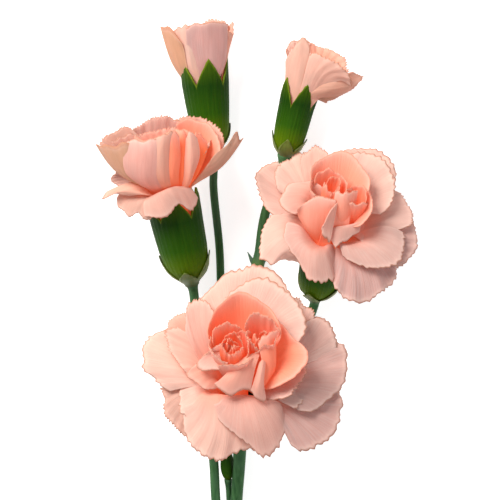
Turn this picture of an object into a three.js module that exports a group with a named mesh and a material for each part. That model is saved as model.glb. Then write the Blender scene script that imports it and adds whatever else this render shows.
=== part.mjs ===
// A cut spray carnation lying on a table: one main stem, five flower heads, a small green bud and
// its leaves. Millimetres, +Z up. The stem runs along Y with its cut end towards -Y, and the heads
// lie towards +Y. The origin is the middle of the footprint, on the table.
import * as THREE from "three";

const DEG = Math.PI / 180;

// ---- Driving dimensions, in millimetres ----
const STEM_BELOW_LEAVES = 41; // from the lowest joint to the cut end
const MAIN_STEM_RADIUS = 1.7;
const SIDE_STEM_RADIUS = 1.3;
const SMALL_STALK_RADIUS = 0.75;
const JOINT_SWELL = 0.45; // how far a stem joint stands out from the stem
const JOINT_REACH = 2.6; // how far along the stem a joint's swelling fades
const CLEARANCE = 0.35; // gap between pieces that touch in life
const PETAL_THICKNESS = 0.5;
const CALYX_WALL = 0.8;
const CALYX_TEETH = 5;
const LEAF_THICKNESS = 0.8;
const LEAF_WIDTH = 5;
const BRACT_LENGTH = 5.5;
const BRACT_WIDTH = 2.2;
const STRAIGHT_END = 3; // a stalk runs straight into its head over this length
const PETAL_PLAY = 0.5; // room between the outermost petals' claws and the calyx
const WHORL_GAP = 0.8; // room between the claws of one whorl and the next
// One edge of a petal rides this far over its neighbour, the other under.
const OVERLAP_LIFT = PETAL_THICKNESS / 2 + CLEARANCE;

// ---- Mesh fineness ----
const PETAL_ALONG = 7;
const PETAL_ACROSS = 6;
const STEM_SIDES = 8;
const TUBE_STEP = 5; // length of one straight run of a stem
const SEGMENTS_PER_TOOTH = 4;

// ---- The heads ----
// base is the foot of the calyx. tilt leans the head from straight up towards +Y, and lean turns
// it about Z, positive to the left (-X). Azimuths run anticlockwise seen from the face: 0 is
// right, 90 is the far side and 270 the near side. A whorl's open is the angle from the axis
// that its petals end at, and back_lift closes the far side and opens the near side by that much.
// Each petal is [azimuth, half width in degrees, share of the whorl's length].
const HEADS = {
  front: {
    base: [-2.6, -51.5, 14.5], tilt: 35, lean: 1, stalk: 1.65,
    calyx: { length: 26, tooth: 6.5, belly: 6.8, mouth: 7.2, flare: 0.8 },
    bend_at: 25.5, reach: 15, back_lift: 0.12,
    whorls: [
      { name: "outer", length: 28, open: 108,
        petals: [[100, 34, 1.06], [38, 34, 1.04], [342, 34, 1.04],
          [292, 30, 0.84], [236, 36, 0.78], [170, 36, 0.86]] },
      { name: "second", length: 23, open: 88,
        petals: [[75, 40, 1.18], [5, 38, 0.86], [302, 34, 0.72],
          [222, 40, 0.68], [148, 40, 0.72]] },
      { name: "middle", length: 19, open: 54,
        petals: [[88, 62, 1.14], [330, 60, 0.85], [210, 62, 0.82]] },
      { name: "heart", length: 16, open: 24,
        petals: [[20, 84, 1], [200, 84, 1]] },
    ],
  },
  right: {
    base: [19, -13.2, 4.2], tilt: 49, lean: -8, stalk: SIDE_STEM_RADIUS,
    calyx: { length: 25, tooth: 6, belly: 6.3, mouth: 6.9, flare: 0.8 },
    bend_at: 24.5, reach: 14, back_lift: 0.15,
    whorls: [
      { name: "outer", length: 24, open: 110,
        petals: [[95, 40, 0.98], [25, 40, 0.98], [318, 36, 1.05],
          [250, 38, 0.8], [168, 40, 0.8]] },
      { name: "second", length: 21.5, open: 86,
        petals: [[60, 46, 1.05], [340, 44, 1.06], [242, 44, 0.76], [150, 48, 0.76]] },
      { name: "middle", length: 17, open: 58,
        petals: [[85, 85, 1.14], [265, 85, 0.84]] },
      { name: "heart", length: 15, open: 16,
        petals: [[190, 130, 1]] },
    ],
  },
  left: {
    base: [-17.1, -9.2, 8.5], tilt: 70, lean: 10, stalk: SIDE_STEM_RADIUS,
    calyx: { length: 28, tooth: 7, belly: 6.8, mouth: 7.2, flare: 0.9 },
    bend_at: 28.5, reach: 18, back_lift: 0.1,
    whorls: [
      { name: "outer", length: 20, open: 74,
        petals: [[258, 42, 0.86], [196, 30, 1.08], [342, 42, 1.04], [90, 50, 0.94]] },
      { name: "middle", length: 19, open: 48,
        petals: [[100, 82, 1], [272, 82, 0.98]] },
      { name: "heart", length: 17, open: 26,
        petals: [[170, 130, 1]] },
    ],
  },
  left_bud: {
    base: [-10.7, 27.2, 4.6], tilt: 82, lean: 5, stalk: SIDE_STEM_RADIUS,
    calyx: { length: 26.5, tooth: 7.5, belly: 5.6, mouth: 6.6, flare: 1.5 },
    bend_at: 19, reach: 18, back_lift: 0,
    whorls: [
      { name: "bud", length: 18, open: 27,
        petals: [[285, 70, 1], [165, 70, 0.98], [45, 70, 1]] },
    ],
  },
  right_bud: {
    base: [9.4, 25.8, 6], tilt: 82, lean: -14, stalk: SIDE_STEM_RADIUS, nod: 0.02,
    calyx: { length: 22, tooth: 7.5, belly: 4.6, mouth: 5.2, flare: 1.9 },
    bend_at: 14.5, reach: 19, back_lift: 0,
    whorls: [
      { name: "bud", length: 19, open: 30,
        petals: [[300, 70, 1], [180, 70, 0.96], [60, 70, 1]] },
    ],
  },
};

// The small closed bud beside the front head.
const SMALL_BUD = {
  base: [-6.1, -64.2, 5.6], tilt: 76, lean: 3, stalk: SMALL_STALK_RADIUS, length: 11, radius: 1.95,
};

// ---- The stems ----
// The main stem's cut end and its joints above it. Leaves and side stems grow from the joints.
const LEAF_JOINT = [-6.2, -86, 2.6];
const CUT_END = [LEAF_JOINT[0] - 2.4, LEAF_JOINT[1] - STEM_BELOW_LEAVES, MAIN_STEM_RADIUS + 0.05];
const UPPER_JOINT = [-4.2, -74, 2.6];
const TOP_JOINT = [-2.5, -47.6, 2.7];
// The joint half way up the right bud's stalk, which carries a pair of small bracts.
const BRACT_JOINT = [2.2, -3.9, 3.2];

const LEFT = new THREE.Vector3(-1, 0, 0);
const RIGHT = new THREE.Vector3(1, 0, 0);
const ABOVE = new THREE.Vector3(0, 0, 1);
const BELOW_JOINT = new THREE.Vector3(0, -2.5, 0.6);
const CARRY_ON = new THREE.Vector3(0.1, CLEARANCE + 0.2, 0);
const point = (p) => new THREE.Vector3(...p);

// ---- Small helpers ----
const smooth = (a, b, x) => THREE.MathUtils.smoothstep(x, a, b);

// Moves every vertex of a geometry by a rule from its place to its new place.
function reshape(geometry, rule) {
  const places = geometry.getAttribute("position");
  const vertex = new THREE.Vector3();
  for (let i = 0; i < places.count; i++) {
    vertex.fromBufferAttribute(places, i);
    places.setXYZ(i, ...rule(vertex).toArray());
  }
  geometry.computeVertexNormals();
  return geometry;
}

function matte(color, roughness = 0.6) {
  return new THREE.MeshStandardMaterial({ color, roughness, metalness: 0, side: THREE.DoubleSide });
}

const STEM_GREEN = matte(0x2f5a45, 0.55);
const CALYX_GREEN = matte(0x3a7a1e, 0.5);
const LEAF_GREEN = matte(0x4f7a5c, 0.6);
const PETAL_COLOURS = {
  outer: matte(0xf8c9b2), second: matte(0xf9bb9e), middle: matte(0xfb9d78), heart: matte(0xfa8560),
  bud: matte(0xf3b79a),
};

function named(name, geometry, material) {
  const mesh = new THREE.Mesh(geometry, material);
  mesh.name = name;
  return mesh;
}

// ---- Petals ----
// The side view of a petal above its claw: a curve that eases from upright to the open angle and
// then runs straight. Returns how far out and up the point at this distance is, and its slope.
// All the whorls of a head ease over one reach, so that an inner petal never meets an outer one.
function petalProfile(distance, reach, open) {
  const STEPS = 24;
  const slopeAt = (s) => open * (1 - Math.max(0, 1 - s / reach) ** 2) * DEG;
  let out = 0, up = 0;
  for (let i = 0; i < STEPS; i++) {
    const slope = slopeAt(((i + 0.5) / STEPS) * distance);
    out += (distance / STEPS) * Math.sin(slope);
    up += (distance / STEPS) * Math.cos(slope);
  }
  return { out, up, slope: slopeAt(distance) };
}

const CLAW_DEPTH = 7; // how far below its bend a petal's claw starts, inside the calyx
const CLAW_WIDTH = 2.3;
const EDGES_PART = 0.77; // share of a head's reach over which the petals' edges part
const RIPPLE_HEIGHT = 0.6;
const RIPPLES = 8; // waves round a head, in step in all its whorls so that they stay clear
const ROUNDED_TIP = 0.14; // how much shorter a petal is at its sides than along its middle

// How far from the axis a whorl's claws stand, counting whorls from the calyx inwards.
function clawRadius(head, order) {
  const narrowest = Math.min(head.calyx.belly, head.calyx.mouth);
  const outermost = narrowest - CALYX_WALL - PETAL_PLAY - PETAL_THICKNESS / 2;
  return outermost - order * (PETAL_THICKNESS + WHORL_GAP);
}

// One petal as a thin closed solid: a slab whose length, width and thickness are bent to shape.
function petalGeometry(head, whorl, order, [azimuth, halfWidth, lengthShare]) {
  const slab = new THREE.BoxGeometry(1, 1, 1, PETAL_ACROSS, PETAL_ALONG, 1);
  const radius = clawRadius(head, order);
  const clawHalf = CLAW_WIDTH / 2 / radius / DEG;
  const length = whorl.length * lengthShare;
  const clawShare = CLAW_DEPTH / (CLAW_DEPTH + length);
  return reshape(slab, ({ x, y, z }) => {
    const v = -2 * x;
    const along = (y + 0.5) * (1 - ROUNDED_TIP * v * v * smooth(0.5, 1, y + 0.5));
    const spread = smooth(0.15, 0.75, along);
    const angle = azimuth + v * (clawHalf + (halfWidth - clawHalf) * spread);
    const open = whorl.open * (1 - head.back_lift * Math.sin(angle * DEG));
    const limb = Math.max(0, (along - clawShare) / (1 - clawShare));
    const { out, up, slope } = petalProfile(limb * length, head.reach, open);
    const claw = Math.min(along / clawShare, 1) * CLAW_DEPTH - CLAW_DEPTH;
    const ripple = RIPPLE_HEIGHT * (limb * length / head.reach) ** 2 * Math.sin(RIPPLES * angle * DEG);
    const parting = v * smooth(0, EDGES_PART, (limb * length) / head.reach);
    const lift = OVERLAP_LIFT * parting + ripple + z * PETAL_THICKNESS;
    const radial = radius + out - lift * Math.cos(slope);
    const height = head.bend_at + claw + up + lift * Math.sin(slope);
    const bent = (head.nod ?? 0) * Math.max(0, height - head.bend_at) ** 2;
    return new THREE.Vector3(
      radial * Math.cos(angle * DEG) + bent,
      radial * Math.sin(angle * DEG),
      height,
    );
  });
}

// ---- Calyces ----
// A green cup round the petals' claws, with pointed teeth at its mouth.
function calyxGeometry({ length, tooth, belly, mouth, flare }) {
  const notch = length - tooth;
  const outside = [
    [0, 0], [0.3 * belly, 0], [0.72 * belly, 0.1 * notch], [0.95 * belly, 0.28 * notch],
    [belly, 0.5 * notch], [mouth, notch - 0.4],
  ];
  const inside = outside.slice(1).map(([r, h]) => [Math.max(r - CALYX_WALL, 0), h + CALYX_WALL]);
  inside[0] = [0, CALYX_WALL];
  inside.at(-1)[1] = notch - 0.4;
  const rim = [[mouth, notch], [mouth - CALYX_WALL, notch]];
  const profile = [...outside, ...rim, ...inside.reverse()].map(([r, h]) => new THREE.Vector2(r, h));
  const cup = new THREE.LatheGeometry(profile, CALYX_TEETH * SEGMENTS_PER_TOOTH);
  cup.rotateX(Math.PI / 2);
  return reshape(cup, (p) => {
    if (p.z < notch - 0.1) return p;
    const turn = (Math.atan2(p.y, p.x) / (2 * Math.PI)) * CALYX_TEETH;
    const rise = 1 - Math.abs(2 * (turn - Math.floor(turn + 1e-6)) - 1);
    const radius = Math.hypot(p.x, p.y);
    const wider = (radius + flare * rise) / radius;
    return new THREE.Vector3(p.x * wider, p.y * wider, p.z + tooth * rise);
  });
}

// A closed bud: a pointed green egg.
function closedBudGeometry({ length, radius }) {
  const ROWS = 8;
  const profile = [];
  for (let i = 0; i <= ROWS; i++) {
    const t = i / ROWS;
    const belly = Math.sin(Math.PI * t ** 0.75) ** 0.8;
    profile.push(new THREE.Vector2(i % ROWS ? radius * belly : 0, length * t));
  }
  return new THREE.LatheGeometry(profile, 12).rotateX(Math.PI / 2);
}

// ---- Stems ----
function tube(path, radius) {
  const curve = new THREE.CatmullRomCurve3(path);
  const section = new THREE.Shape().absarc(0, 0, radius, 0, 2 * Math.PI);
  const steps = Math.max(3, Math.round(curve.getLength() / TUBE_STEP));
  return new THREE.ExtrudeGeometry(section, {
    steps, curveSegments: STEM_SIDES, extrudePath: curve, bevelEnabled: false,
  });
}

// Thickens a stem around its joints.
function withJoints(geometry, joints) {
  return reshape(geometry, (p) => {
    for (const joint of joints) {
      const away = Math.abs(p.y - joint.y);
      if (away > 2 * JOINT_REACH) continue;
      const side = new THREE.Vector3(p.x - joint.x, 0, p.z - joint.z);
      p.addScaledVector(side.normalize(), JOINT_SWELL * Math.exp(-((away / JOINT_REACH) ** 2)));
    }
    return p;
  });
}

// The place of a side stem's foot, beside a joint of the main stem.
function besideJoint(joint, side, radius) {
  const reach = MAIN_STEM_RADIUS + JOINT_SWELL + CLEARANCE + radius;
  return point(joint).addScaledVector(side, reach);
}

function turnOf({ tilt, lean }) {
  const leaned = new THREE.Quaternion().setFromAxisAngle(ABOVE, lean * DEG);
  return leaned.multiply(new THREE.Quaternion().setFromAxisAngle(RIGHT, -tilt * DEG));
}

// A point on a head's axis, at a height above the foot of its calyx.
function onAxis(head, height) {
  return new THREE.Vector3(0, 0, height).applyQuaternion(turnOf(head)).add(point(head.base));
}

// ---- Leaves ----
// A strap leaf or bract along a path, hollowed along its middle, ending in a point.
function leafGeometry(path, width, along) {
  const curve = new THREE.CatmullRomCurve3(path);
  const slab = new THREE.BoxGeometry(1, 1, 1, 2, along, 1);
  return reshape(slab, ({ x, y, z }) => {
    const share = y + 0.5;
    const tangent = curve.getTangent(share);
    const side = new THREE.Vector3().crossVectors(tangent, ABOVE).normalize();
    const face = new THREE.Vector3().crossVectors(side, tangent);
    const taper = Math.min(1, 0.12 + (1 - share) * 1.6) * Math.min(1, 0.7 + 1.2 * share);
    const half = (width / 2) * taper;
    const thick = LEAF_THICKNESS * Math.min(1, 0.35 + 2 * (1 - share));
    const hollow = 0.35 * half * Math.abs(2 * x);
    return curve.getPoint(share).addScaledVector(side, 2 * x * half)
      .addScaledVector(face, hollow + z * thick);
  });
}

// ---- Assembly ----
function buildHead(key, head) {
  const group = new THREE.Group();
  group.position.set(...head.base);
  group.quaternion.copy(turnOf(head));
  group.add(named(`${key}_calyx`, calyxGeometry(head.calyx), CALYX_GREEN));
  head.whorls.forEach((whorl, order) => {
    whorl.petals.forEach((petal, i) => {
      const name = `${key}_${whorl.name}_petal_${i + 1}`;
      group.add(named(name, petalGeometry(head, whorl, order, petal), PETAL_COLOURS[whorl.name]));
    });
  });
  return group;
}

function buildSmallBud() {
  const bud = named("small_bud", closedBudGeometry(SMALL_BUD), CALYX_GREEN);
  bud.position.set(...SMALL_BUD.base);
  bud.quaternion.copy(turnOf(SMALL_BUD));
  return bud;
}

// The stalks: which head each carries, the main stem's joint and side it grows from, and the
// points it passes on the way.
const STALKS = [
  { name: "left_flower_stalk", head: HEADS.left, joint: LEAF_JOINT, side: LEFT,
    between: [[-9, -68, 5.5], [-10.2, -57.5, 6.5], [-13.6, -36, 9]] },
  { name: "small_bud_stalk", head: SMALL_BUD, joint: UPPER_JOINT, side: LEFT, between: [] },
  { name: "front_flower_stalk", head: HEADS.front, joint: UPPER_JOINT, side: ABOVE,
    between: [[-3.3, -64, 7.4]] },
  { name: "left_bud_stalk", head: HEADS.left_bud, joint: TOP_JOINT, side: LEFT,
    between: [[-7.8, -24, 2.4], [-8.8, 0, 2.4], [-10.4, 18, 3.4]] },
  { name: "right_flower_stalk", head: HEADS.right, joint: TOP_JOINT, side: RIGHT,
    between: [[7.5, -35.5, 2.5], [15, -22.5, 2]] },
  { name: "right_bud_stalk", head: HEADS.right_bud, joint: TOP_JOINT, side: null,
    between: [[-0.6, -25, 2.6], BRACT_JOINT, [4, 10, 3.6]], swellings: [BRACT_JOINT] },
];

function buildStems() {
  const group = new THREE.Group();
  const spine = [CUT_END, LEAF_JOINT, UPPER_JOINT, TOP_JOINT].map(point);
  const main = withJoints(tube(spine, MAIN_STEM_RADIUS), spine.slice(1, 3));
  group.add(named("main_stem", main, STEM_GREEN));
  for (const { name, head, joint, side, between, swellings = [] } of STALKS) {
    // A stalk with no side carries straight on from the main stem's top.
    const foot = side ? besideJoint(joint, side, head.stalk) : point(joint).add(CARRY_ON);
    const end = [onAxis(head, -CLEARANCE - STRAIGHT_END), onAxis(head, -CLEARANCE)];
    const path = [foot, ...between.map(point), ...end];
    const geometry = withJoints(tube(path, head.stalk), swellings.map(point));
    group.add(named(name, geometry, STEM_GREEN));
  }
  return group;
}

function buildLeaves() {
  const group = new THREE.Group();
  // A leaf springs from just below the joint and arches down to the table.
  const leaf = (name, side, rest) => {
    const reach = MAIN_STEM_RADIUS + JOINT_SWELL + CLEARANCE + 0.3 * LEAF_WIDTH;
    const start = point(LEAF_JOINT).addScaledVector(side, reach).add(BELOW_JOINT);
    const steps = rest.map(([x, y, z]) => start.clone().add(new THREE.Vector3(x * side.x, y, z)));
    group.add(named(name, leafGeometry([start, ...steps], LEAF_WIDTH, 10), LEAF_GREEN));
  };
  leaf("leaf_left", LEFT, [[5, 5.5, 4], [17, 9, 7], [30, 5, 5], [39, -4, -2.9]]);
  leaf("leaf_right", RIGHT, [[5, 5, 4], [16, 6, 6.5], [27, 0, 4.5], [35, -10, -2.9]]);

  const bract = (name, side) => {
    const reach = SIDE_STEM_RADIUS + JOINT_SWELL + CLEARANCE + 0.6;
    const start = point(BRACT_JOINT).addScaledVector(side, reach);
    const [x, z] = [side.x, 0.4];
    const path = [[0, 0, 0], [0.5 * x, 0.5 * BRACT_LENGTH, z], [1.6 * x, BRACT_LENGTH, 2 * z]];
    const points = path.map((p) => start.clone().add(point(p)));
    group.add(named(name, leafGeometry(points, BRACT_WIDTH, 4), LEAF_GREEN));
  };
  bract("bract_left", LEFT);
  bract("bract_right", RIGHT);
  return group;
}

const spray = new THREE.Group();
spray.add(buildStems(), buildLeaves(), buildSmallBud());
for (const [key, head] of Object.entries(HEADS)) spray.add(buildHead(key, head));

// Sets the whole spray on the table, centred over the origin.
spray.updateMatrixWorld(true);
const box = new THREE.Box3().setFromObject(spray, true);
const middle = box.getCenter(new THREE.Vector3());
spray.position.set(-middle.x, -middle.y, -box.min.z);

export default spray;
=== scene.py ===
"""A cut spray carnation lying on a pale table, seen from straight above.

Lengths are millimetres in the maker's drawing, unless a line says metres. Its origin is straight
under the camera, +Y runs along the stem to the flowers and +Z is up from the table. TO_FRAME takes
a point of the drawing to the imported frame, in metres.
"""
import bpy
import math
import random
import numpy as np
from mathutils import Matrix, Vector


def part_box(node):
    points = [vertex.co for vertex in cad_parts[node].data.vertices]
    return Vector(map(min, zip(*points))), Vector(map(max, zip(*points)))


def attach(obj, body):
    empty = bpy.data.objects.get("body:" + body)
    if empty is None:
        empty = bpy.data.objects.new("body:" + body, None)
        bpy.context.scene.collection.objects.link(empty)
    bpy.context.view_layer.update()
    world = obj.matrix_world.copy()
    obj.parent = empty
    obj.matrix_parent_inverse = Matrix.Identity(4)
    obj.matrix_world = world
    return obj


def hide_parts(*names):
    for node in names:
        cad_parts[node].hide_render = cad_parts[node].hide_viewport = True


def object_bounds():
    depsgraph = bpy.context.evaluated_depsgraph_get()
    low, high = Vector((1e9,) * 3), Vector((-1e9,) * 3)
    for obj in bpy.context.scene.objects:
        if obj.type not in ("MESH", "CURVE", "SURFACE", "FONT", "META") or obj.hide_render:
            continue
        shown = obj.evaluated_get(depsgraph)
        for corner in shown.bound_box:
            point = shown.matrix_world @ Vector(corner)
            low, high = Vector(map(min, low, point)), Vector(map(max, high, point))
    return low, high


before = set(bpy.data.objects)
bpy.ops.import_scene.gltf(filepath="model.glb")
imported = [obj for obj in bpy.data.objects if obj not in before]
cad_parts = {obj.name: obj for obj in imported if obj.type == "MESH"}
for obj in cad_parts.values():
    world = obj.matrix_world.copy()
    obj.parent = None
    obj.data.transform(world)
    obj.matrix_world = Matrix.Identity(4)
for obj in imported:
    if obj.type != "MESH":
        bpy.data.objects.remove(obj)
cad_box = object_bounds()

MM = 0.001


def middle_of(box):
    return (Vector(box[0]) + Vector(box[1])) / 2


# The middle of the front calyx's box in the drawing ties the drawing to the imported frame.
FRONT_CALYX_MIDDLE = Vector((-3.213, -42.485, 26.664))
DRAWING_ORIGIN = middle_of(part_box("front_calyx")) - FRONT_CALYX_MIDDLE * MM
TO_FRAME = Matrix.Translation(DRAWING_ORIGIN) @ Matrix.Diagonal((MM, MM, MM, 1.0))

# ---------------------------------------------------------------- camera, light and table
CAMERA_HEIGHT = 778.0
CAMERA_LENS = 200.0
CAMERA_SENSOR = 36.0
CAMERA_FAR_END = 10.0  # metres

# Each light: its place, its size across in metres, its power in watts and its colour.
KEY_LIGHT = ((-420, 520, 620), 0.50, 12.8, (1.0, 0.965, 0.92))
FILL_LIGHT = ((620, -260, 620), 0.8, 2.0, (0.90, 0.95, 1.0))
LIGHTS_AIM = (0, 0, 15)
AIR_COLOUR = (0.96, 0.98, 1.0, 1.0)
AIR_STRENGTH = 0.48

TABLE_SIZE = 6.0  # metres
TABLE_GAP = 0.0002  # metres
TABLE_COLOUR = (0.62, 0.62, 0.625, 1.0)
TABLE_GLOW = 0.72


def add_camera():
    place = TO_FRAME @ Vector((0, 0, CAMERA_HEIGHT))
    bpy.ops.object.camera_add(location=place, rotation=(0, 0, 0))
    camera = bpy.context.object
    camera.name = "camera"
    camera.data.lens = CAMERA_LENS
    camera.data.sensor_width = CAMERA_SENSOR
    camera.data.clip_end = CAMERA_FAR_END
    bpy.context.scene.camera = camera


def add_area_light(name, place, size, power, colour):
    aim = TO_FRAME @ Vector(LIGHTS_AIM)
    stand = TO_FRAME @ Vector(place)
    bpy.ops.object.light_add(type="AREA", location=stand)
    light = bpy.context.object
    light.name = name
    light.rotation_euler = (aim - stand).to_track_quat("-Z", "Y").to_euler()
    light.data.shape = "DISK"
    light.data.size = size
    light.data.energy = power
    light.data.color = colour


def add_lights():
    add_area_light("key_light", *KEY_LIGHT)
    add_area_light("fill_light", *FILL_LIGHT)
    world = bpy.data.worlds.new("studio_air")
    bpy.context.scene.world = world
    world.use_nodes = True
    air = world.node_tree.nodes["Background"]
    air.inputs["Color"].default_value = AIR_COLOUR
    air.inputs["Strength"].default_value = AIR_STRENGTH
    bpy.context.scene.view_settings.view_transform = "Standard"


def add_table():
    bpy.ops.mesh.primitive_plane_add(size=TABLE_SIZE, location=(0, 0, cad_box[0][2] - TABLE_GAP))
    table = bpy.context.object
    table.name = "table"
    paint = bpy.data.materials.new("pale_table")
    paint.use_nodes = True
    shader = paint.node_tree.nodes["Principled BSDF"]
    shader.inputs["Base Color"].default_value = TABLE_COLOUR
    shader.inputs["Roughness"].default_value = 0.85
    shader.inputs["Specular IOR Level"].default_value = 0.1
    shader.inputs["Emission Color"].default_value = (1.0, 1.0, 1.0, 1.0)
    shader.inputs["Emission Strength"].default_value = TABLE_GLOW
    table.data.materials.append(paint)


# ---------------------------------------------------------------- helpers
SEAM_GAP = 0.000005  # metres; points closer than this are merged


def smooth(low, high, x):
    """0 below low, 1 above high and an even S between them."""
    share = np.clip((x - low) / (high - low), 0.0, 1.0)
    return share * share * (3.0 - 2.0 * share)


def wave(rng, count, low, high):
    """A sum of sines of random pitch and phase, of about unit height."""
    parts = [(rng.uniform(low, high), rng.uniform(0, 2 * math.pi), rng.uniform(0.5, 1.0))
             for _ in range(count)]
    total = sum(height for pitch, phase, height in parts)
    return lambda x: sum(height * np.sin(pitch * x + phase) for pitch, phase, height in parts) / total


def select_only(piece):
    bpy.ops.object.select_all(action="DESELECT")
    piece.select_set(True)
    bpy.context.view_layer.objects.active = piece


def new_sheet(name, across, along):
    """A flat square grid from -1 to 1, ready to be shaped."""
    bpy.ops.object.select_all(action="DESELECT")
    bpy.ops.mesh.primitive_grid_add(x_subdivisions=across, y_subdivisions=along, size=2.0)
    sheet = bpy.context.object
    sheet.name = name
    sheet.data.name = name
    return sheet


def shape_sheet(sheet, rule, to_frame):
    """Moves each point of a flat grid to rule(u, v).

    u runs across the sheet from -1 to 1 and v along it from 0 to 1. Both come back with each
    point's row and column in them.
    """
    flat = np.empty(len(sheet.data.vertices) * 3)
    sheet.data.vertices.foreach_get("co", flat)
    flat = flat.reshape(-1, 3)
    across, column = np.unique(np.round(flat[:, 0], 5), return_inverse=True)
    along, row = np.unique(np.round((flat[:, 1] + 1) / 2, 5), return_inverse=True)
    u, v = np.meshgrid(across, along)
    placed = rule(u, v)[row, column]
    matrix = np.array(to_frame)
    placed = placed @ matrix[:3, :3].T + matrix[:3, 3]
    sheet.data.vertices.foreach_set("co", placed.ravel())
    sheet.data.update()
    return u, v, row, column


def close_seam(cap_ends=False):
    """Joins the active sheet where it meets itself and turns its faces out; a stem's ends are capped."""
    bpy.ops.object.mode_set(mode="EDIT")
    bpy.ops.mesh.select_all(action="SELECT")
    bpy.ops.mesh.remove_doubles(threshold=SEAM_GAP)
    if cap_ends:
        bpy.ops.mesh.select_all(action="DESELECT")
        bpy.ops.mesh.select_mode(type="EDGE")
        bpy.ops.mesh.select_non_manifold()
        bpy.ops.mesh.edge_face_add()
    bpy.ops.mesh.select_all(action="SELECT")
    bpy.ops.mesh.normals_make_consistent(inside=False)
    bpy.ops.object.mode_set(mode="OBJECT")


def thicken(sheet, thickness, back_slot=0, middle=True):
    """Gives a sheet its wall: half to each side, or all of it behind the face."""
    solid = sheet.modifiers.new("thickness", "SOLIDIFY")
    solid.thickness = thickness * MM
    solid.offset = 0.0 if middle else -1.0
    solid.use_even_offset = False
    solid.material_offset = back_slot
    select_only(sheet)
    bpy.ops.object.modifier_apply(modifier=solid.name)


def set_attribute(sheet, name, values):
    layer = sheet.data.attributes.new(name, "FLOAT", "POINT")
    layer.data.foreach_set("value", values.astype(np.float32).ravel())


def finish_piece(piece, nodes=()):
    select_only(piece)
    bpy.ops.object.shade_smooth()
    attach(piece, "root")
    if nodes:
        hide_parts(*nodes)


# ---------------------------------------------------------------- material nodes
class Nodes:
    """Adds and links shader nodes in one tree."""

    def __init__(self, tree):
        self.tree = tree

    def add(self, kind, **values):
        node = self.tree.nodes.new(kind)
        for name, value in values.items():
            setattr(node, name, value)
        return node

    def feed(self, socket, value):
        """Links a socket to another node's output, or sets its value."""
        if isinstance(value, bpy.types.NodeSocket):
            self.tree.links.new(value, socket)
        else:
            socket.default_value = value

    def math(self, operation, a, b):
        node = self.add("ShaderNodeMath", operation=operation)
        self.feed(node.inputs[0], a)
        self.feed(node.inputs[1], b)
        return node.outputs[0]

    def mix(self, share, a, b, blend="MIX"):
        node = self.add("ShaderNodeMix", data_type="RGBA", blend_type=blend)
        self.feed(node.inputs[0], share)
        self.feed(node.inputs[6], a)
        self.feed(node.inputs[7], b)
        return node.outputs[2]

    def ramp(self, value, stops):
        node = self.add("ShaderNodeValToRGB")
        elements = node.color_ramp.elements
        while len(elements) < len(stops):
            elements.new(0.5)
        for element, (place, colour) in zip(elements, stops):
            element.position = place
            element.color = colour
        self.feed(node.inputs[0], value)
        return node.outputs[0]

    def attribute(self, name):
        node = self.add("ShaderNodeAttribute", attribute_type="GEOMETRY", attribute_name=name)
        return node.outputs["Fac"]

    def stretched(self, place, scale):
        node = self.add("ShaderNodeMapping")
        self.feed(node.inputs["Vector"], place)
        node.inputs["Scale"].default_value = scale
        return node.outputs[0]

    def noise(self, place, scale, detail, roughness=0.5):
        node = self.add("ShaderNodeTexNoise")
        self.feed(node.inputs["Vector"], place)
        self.feed(node.inputs["Scale"], scale)
        node.inputs["Detail"].default_value = detail
        node.inputs["Roughness"].default_value = roughness
        return node.outputs["Fac"]

    def relief(self, height, strength, distance):
        """A bump that a height makes; distance is in metres."""
        node = self.add("ShaderNodeBump")
        self.feed(node.inputs["Height"], height)
        node.inputs["Strength"].default_value = strength
        node.inputs["Distance"].default_value = distance
        return node.outputs[0]

    def group(self, tree, **values):
        node = self.add("ShaderNodeGroup", node_tree=tree)
        for name, value in values.items():
            self.feed(node.inputs[name], value)
        return node.outputs["Mask"]


def grey(x):
    return (x, x, x, 1.0)


def new_material(name):
    material = bpy.data.materials.new(name)
    material.use_nodes = True
    nodes = Nodes(material.node_tree)
    return material, nodes, material.node_tree.nodes["Principled BSDF"]


def new_group(name, **sockets):
    """A node group with the inputs that sockets names, and one output, Mask."""
    tree = bpy.data.node_groups.new(name, "ShaderNodeTree")
    for socket, kind in sockets.items():
        tree.interface.new_socket(socket, in_out="INPUT", socket_type=kind)
    tree.interface.new_socket("Mask", in_out="OUTPUT", socket_type="NodeSocketFloat")
    n = Nodes(tree)
    return tree, n, n.add("NodeGroupInput").outputs, n.add("NodeGroupOutput").inputs["Mask"]


def make_vein_group():
    """Fine veins that fan out along a petal or stripe a calyx, on the piece's UV map."""
    tree, n, given, mask = new_group("long_veins", Across="NodeSocketFloat", Along="NodeSocketFloat")
    split = n.add("ShaderNodeSeparateXYZ")
    n.feed(split.inputs[0], n.add("ShaderNodeUVMap").outputs[0])
    place = n.add("ShaderNodeCombineXYZ")
    n.feed(place.inputs[0], n.math("MULTIPLY", split.outputs[0], given["Across"]))
    n.feed(place.inputs[1], n.math("MULTIPLY", split.outputs[1], given["Along"]))
    threads = n.noise(place.outputs[0], 1.0, 4.0, 0.62)
    n.feed(mask, n.ramp(threads, [(0.34, grey(0)), (0.66, grey(1))]))
    return tree


def make_bloom_group():
    """The waxy bloom that lies in soft patches over stems and leaves."""
    tree, n, given, mask = new_group("waxy_bloom", Place="NodeSocketVector", Fineness="NodeSocketFloat",
                                     Thickest="NodeSocketFloat", Amount="NodeSocketFloat")
    patches = n.noise(given["Place"], given["Fineness"], 3.0)
    spread = n.add("ShaderNodeMapRange")
    n.feed(spread.inputs["Value"], patches)
    n.feed(spread.inputs["From Min"], 0.4)
    n.feed(spread.inputs["From Max"], given["Thickest"])
    n.feed(spread.inputs["To Max"], given["Amount"])
    n.feed(mask, spread.outputs[0])
    return tree


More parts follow.
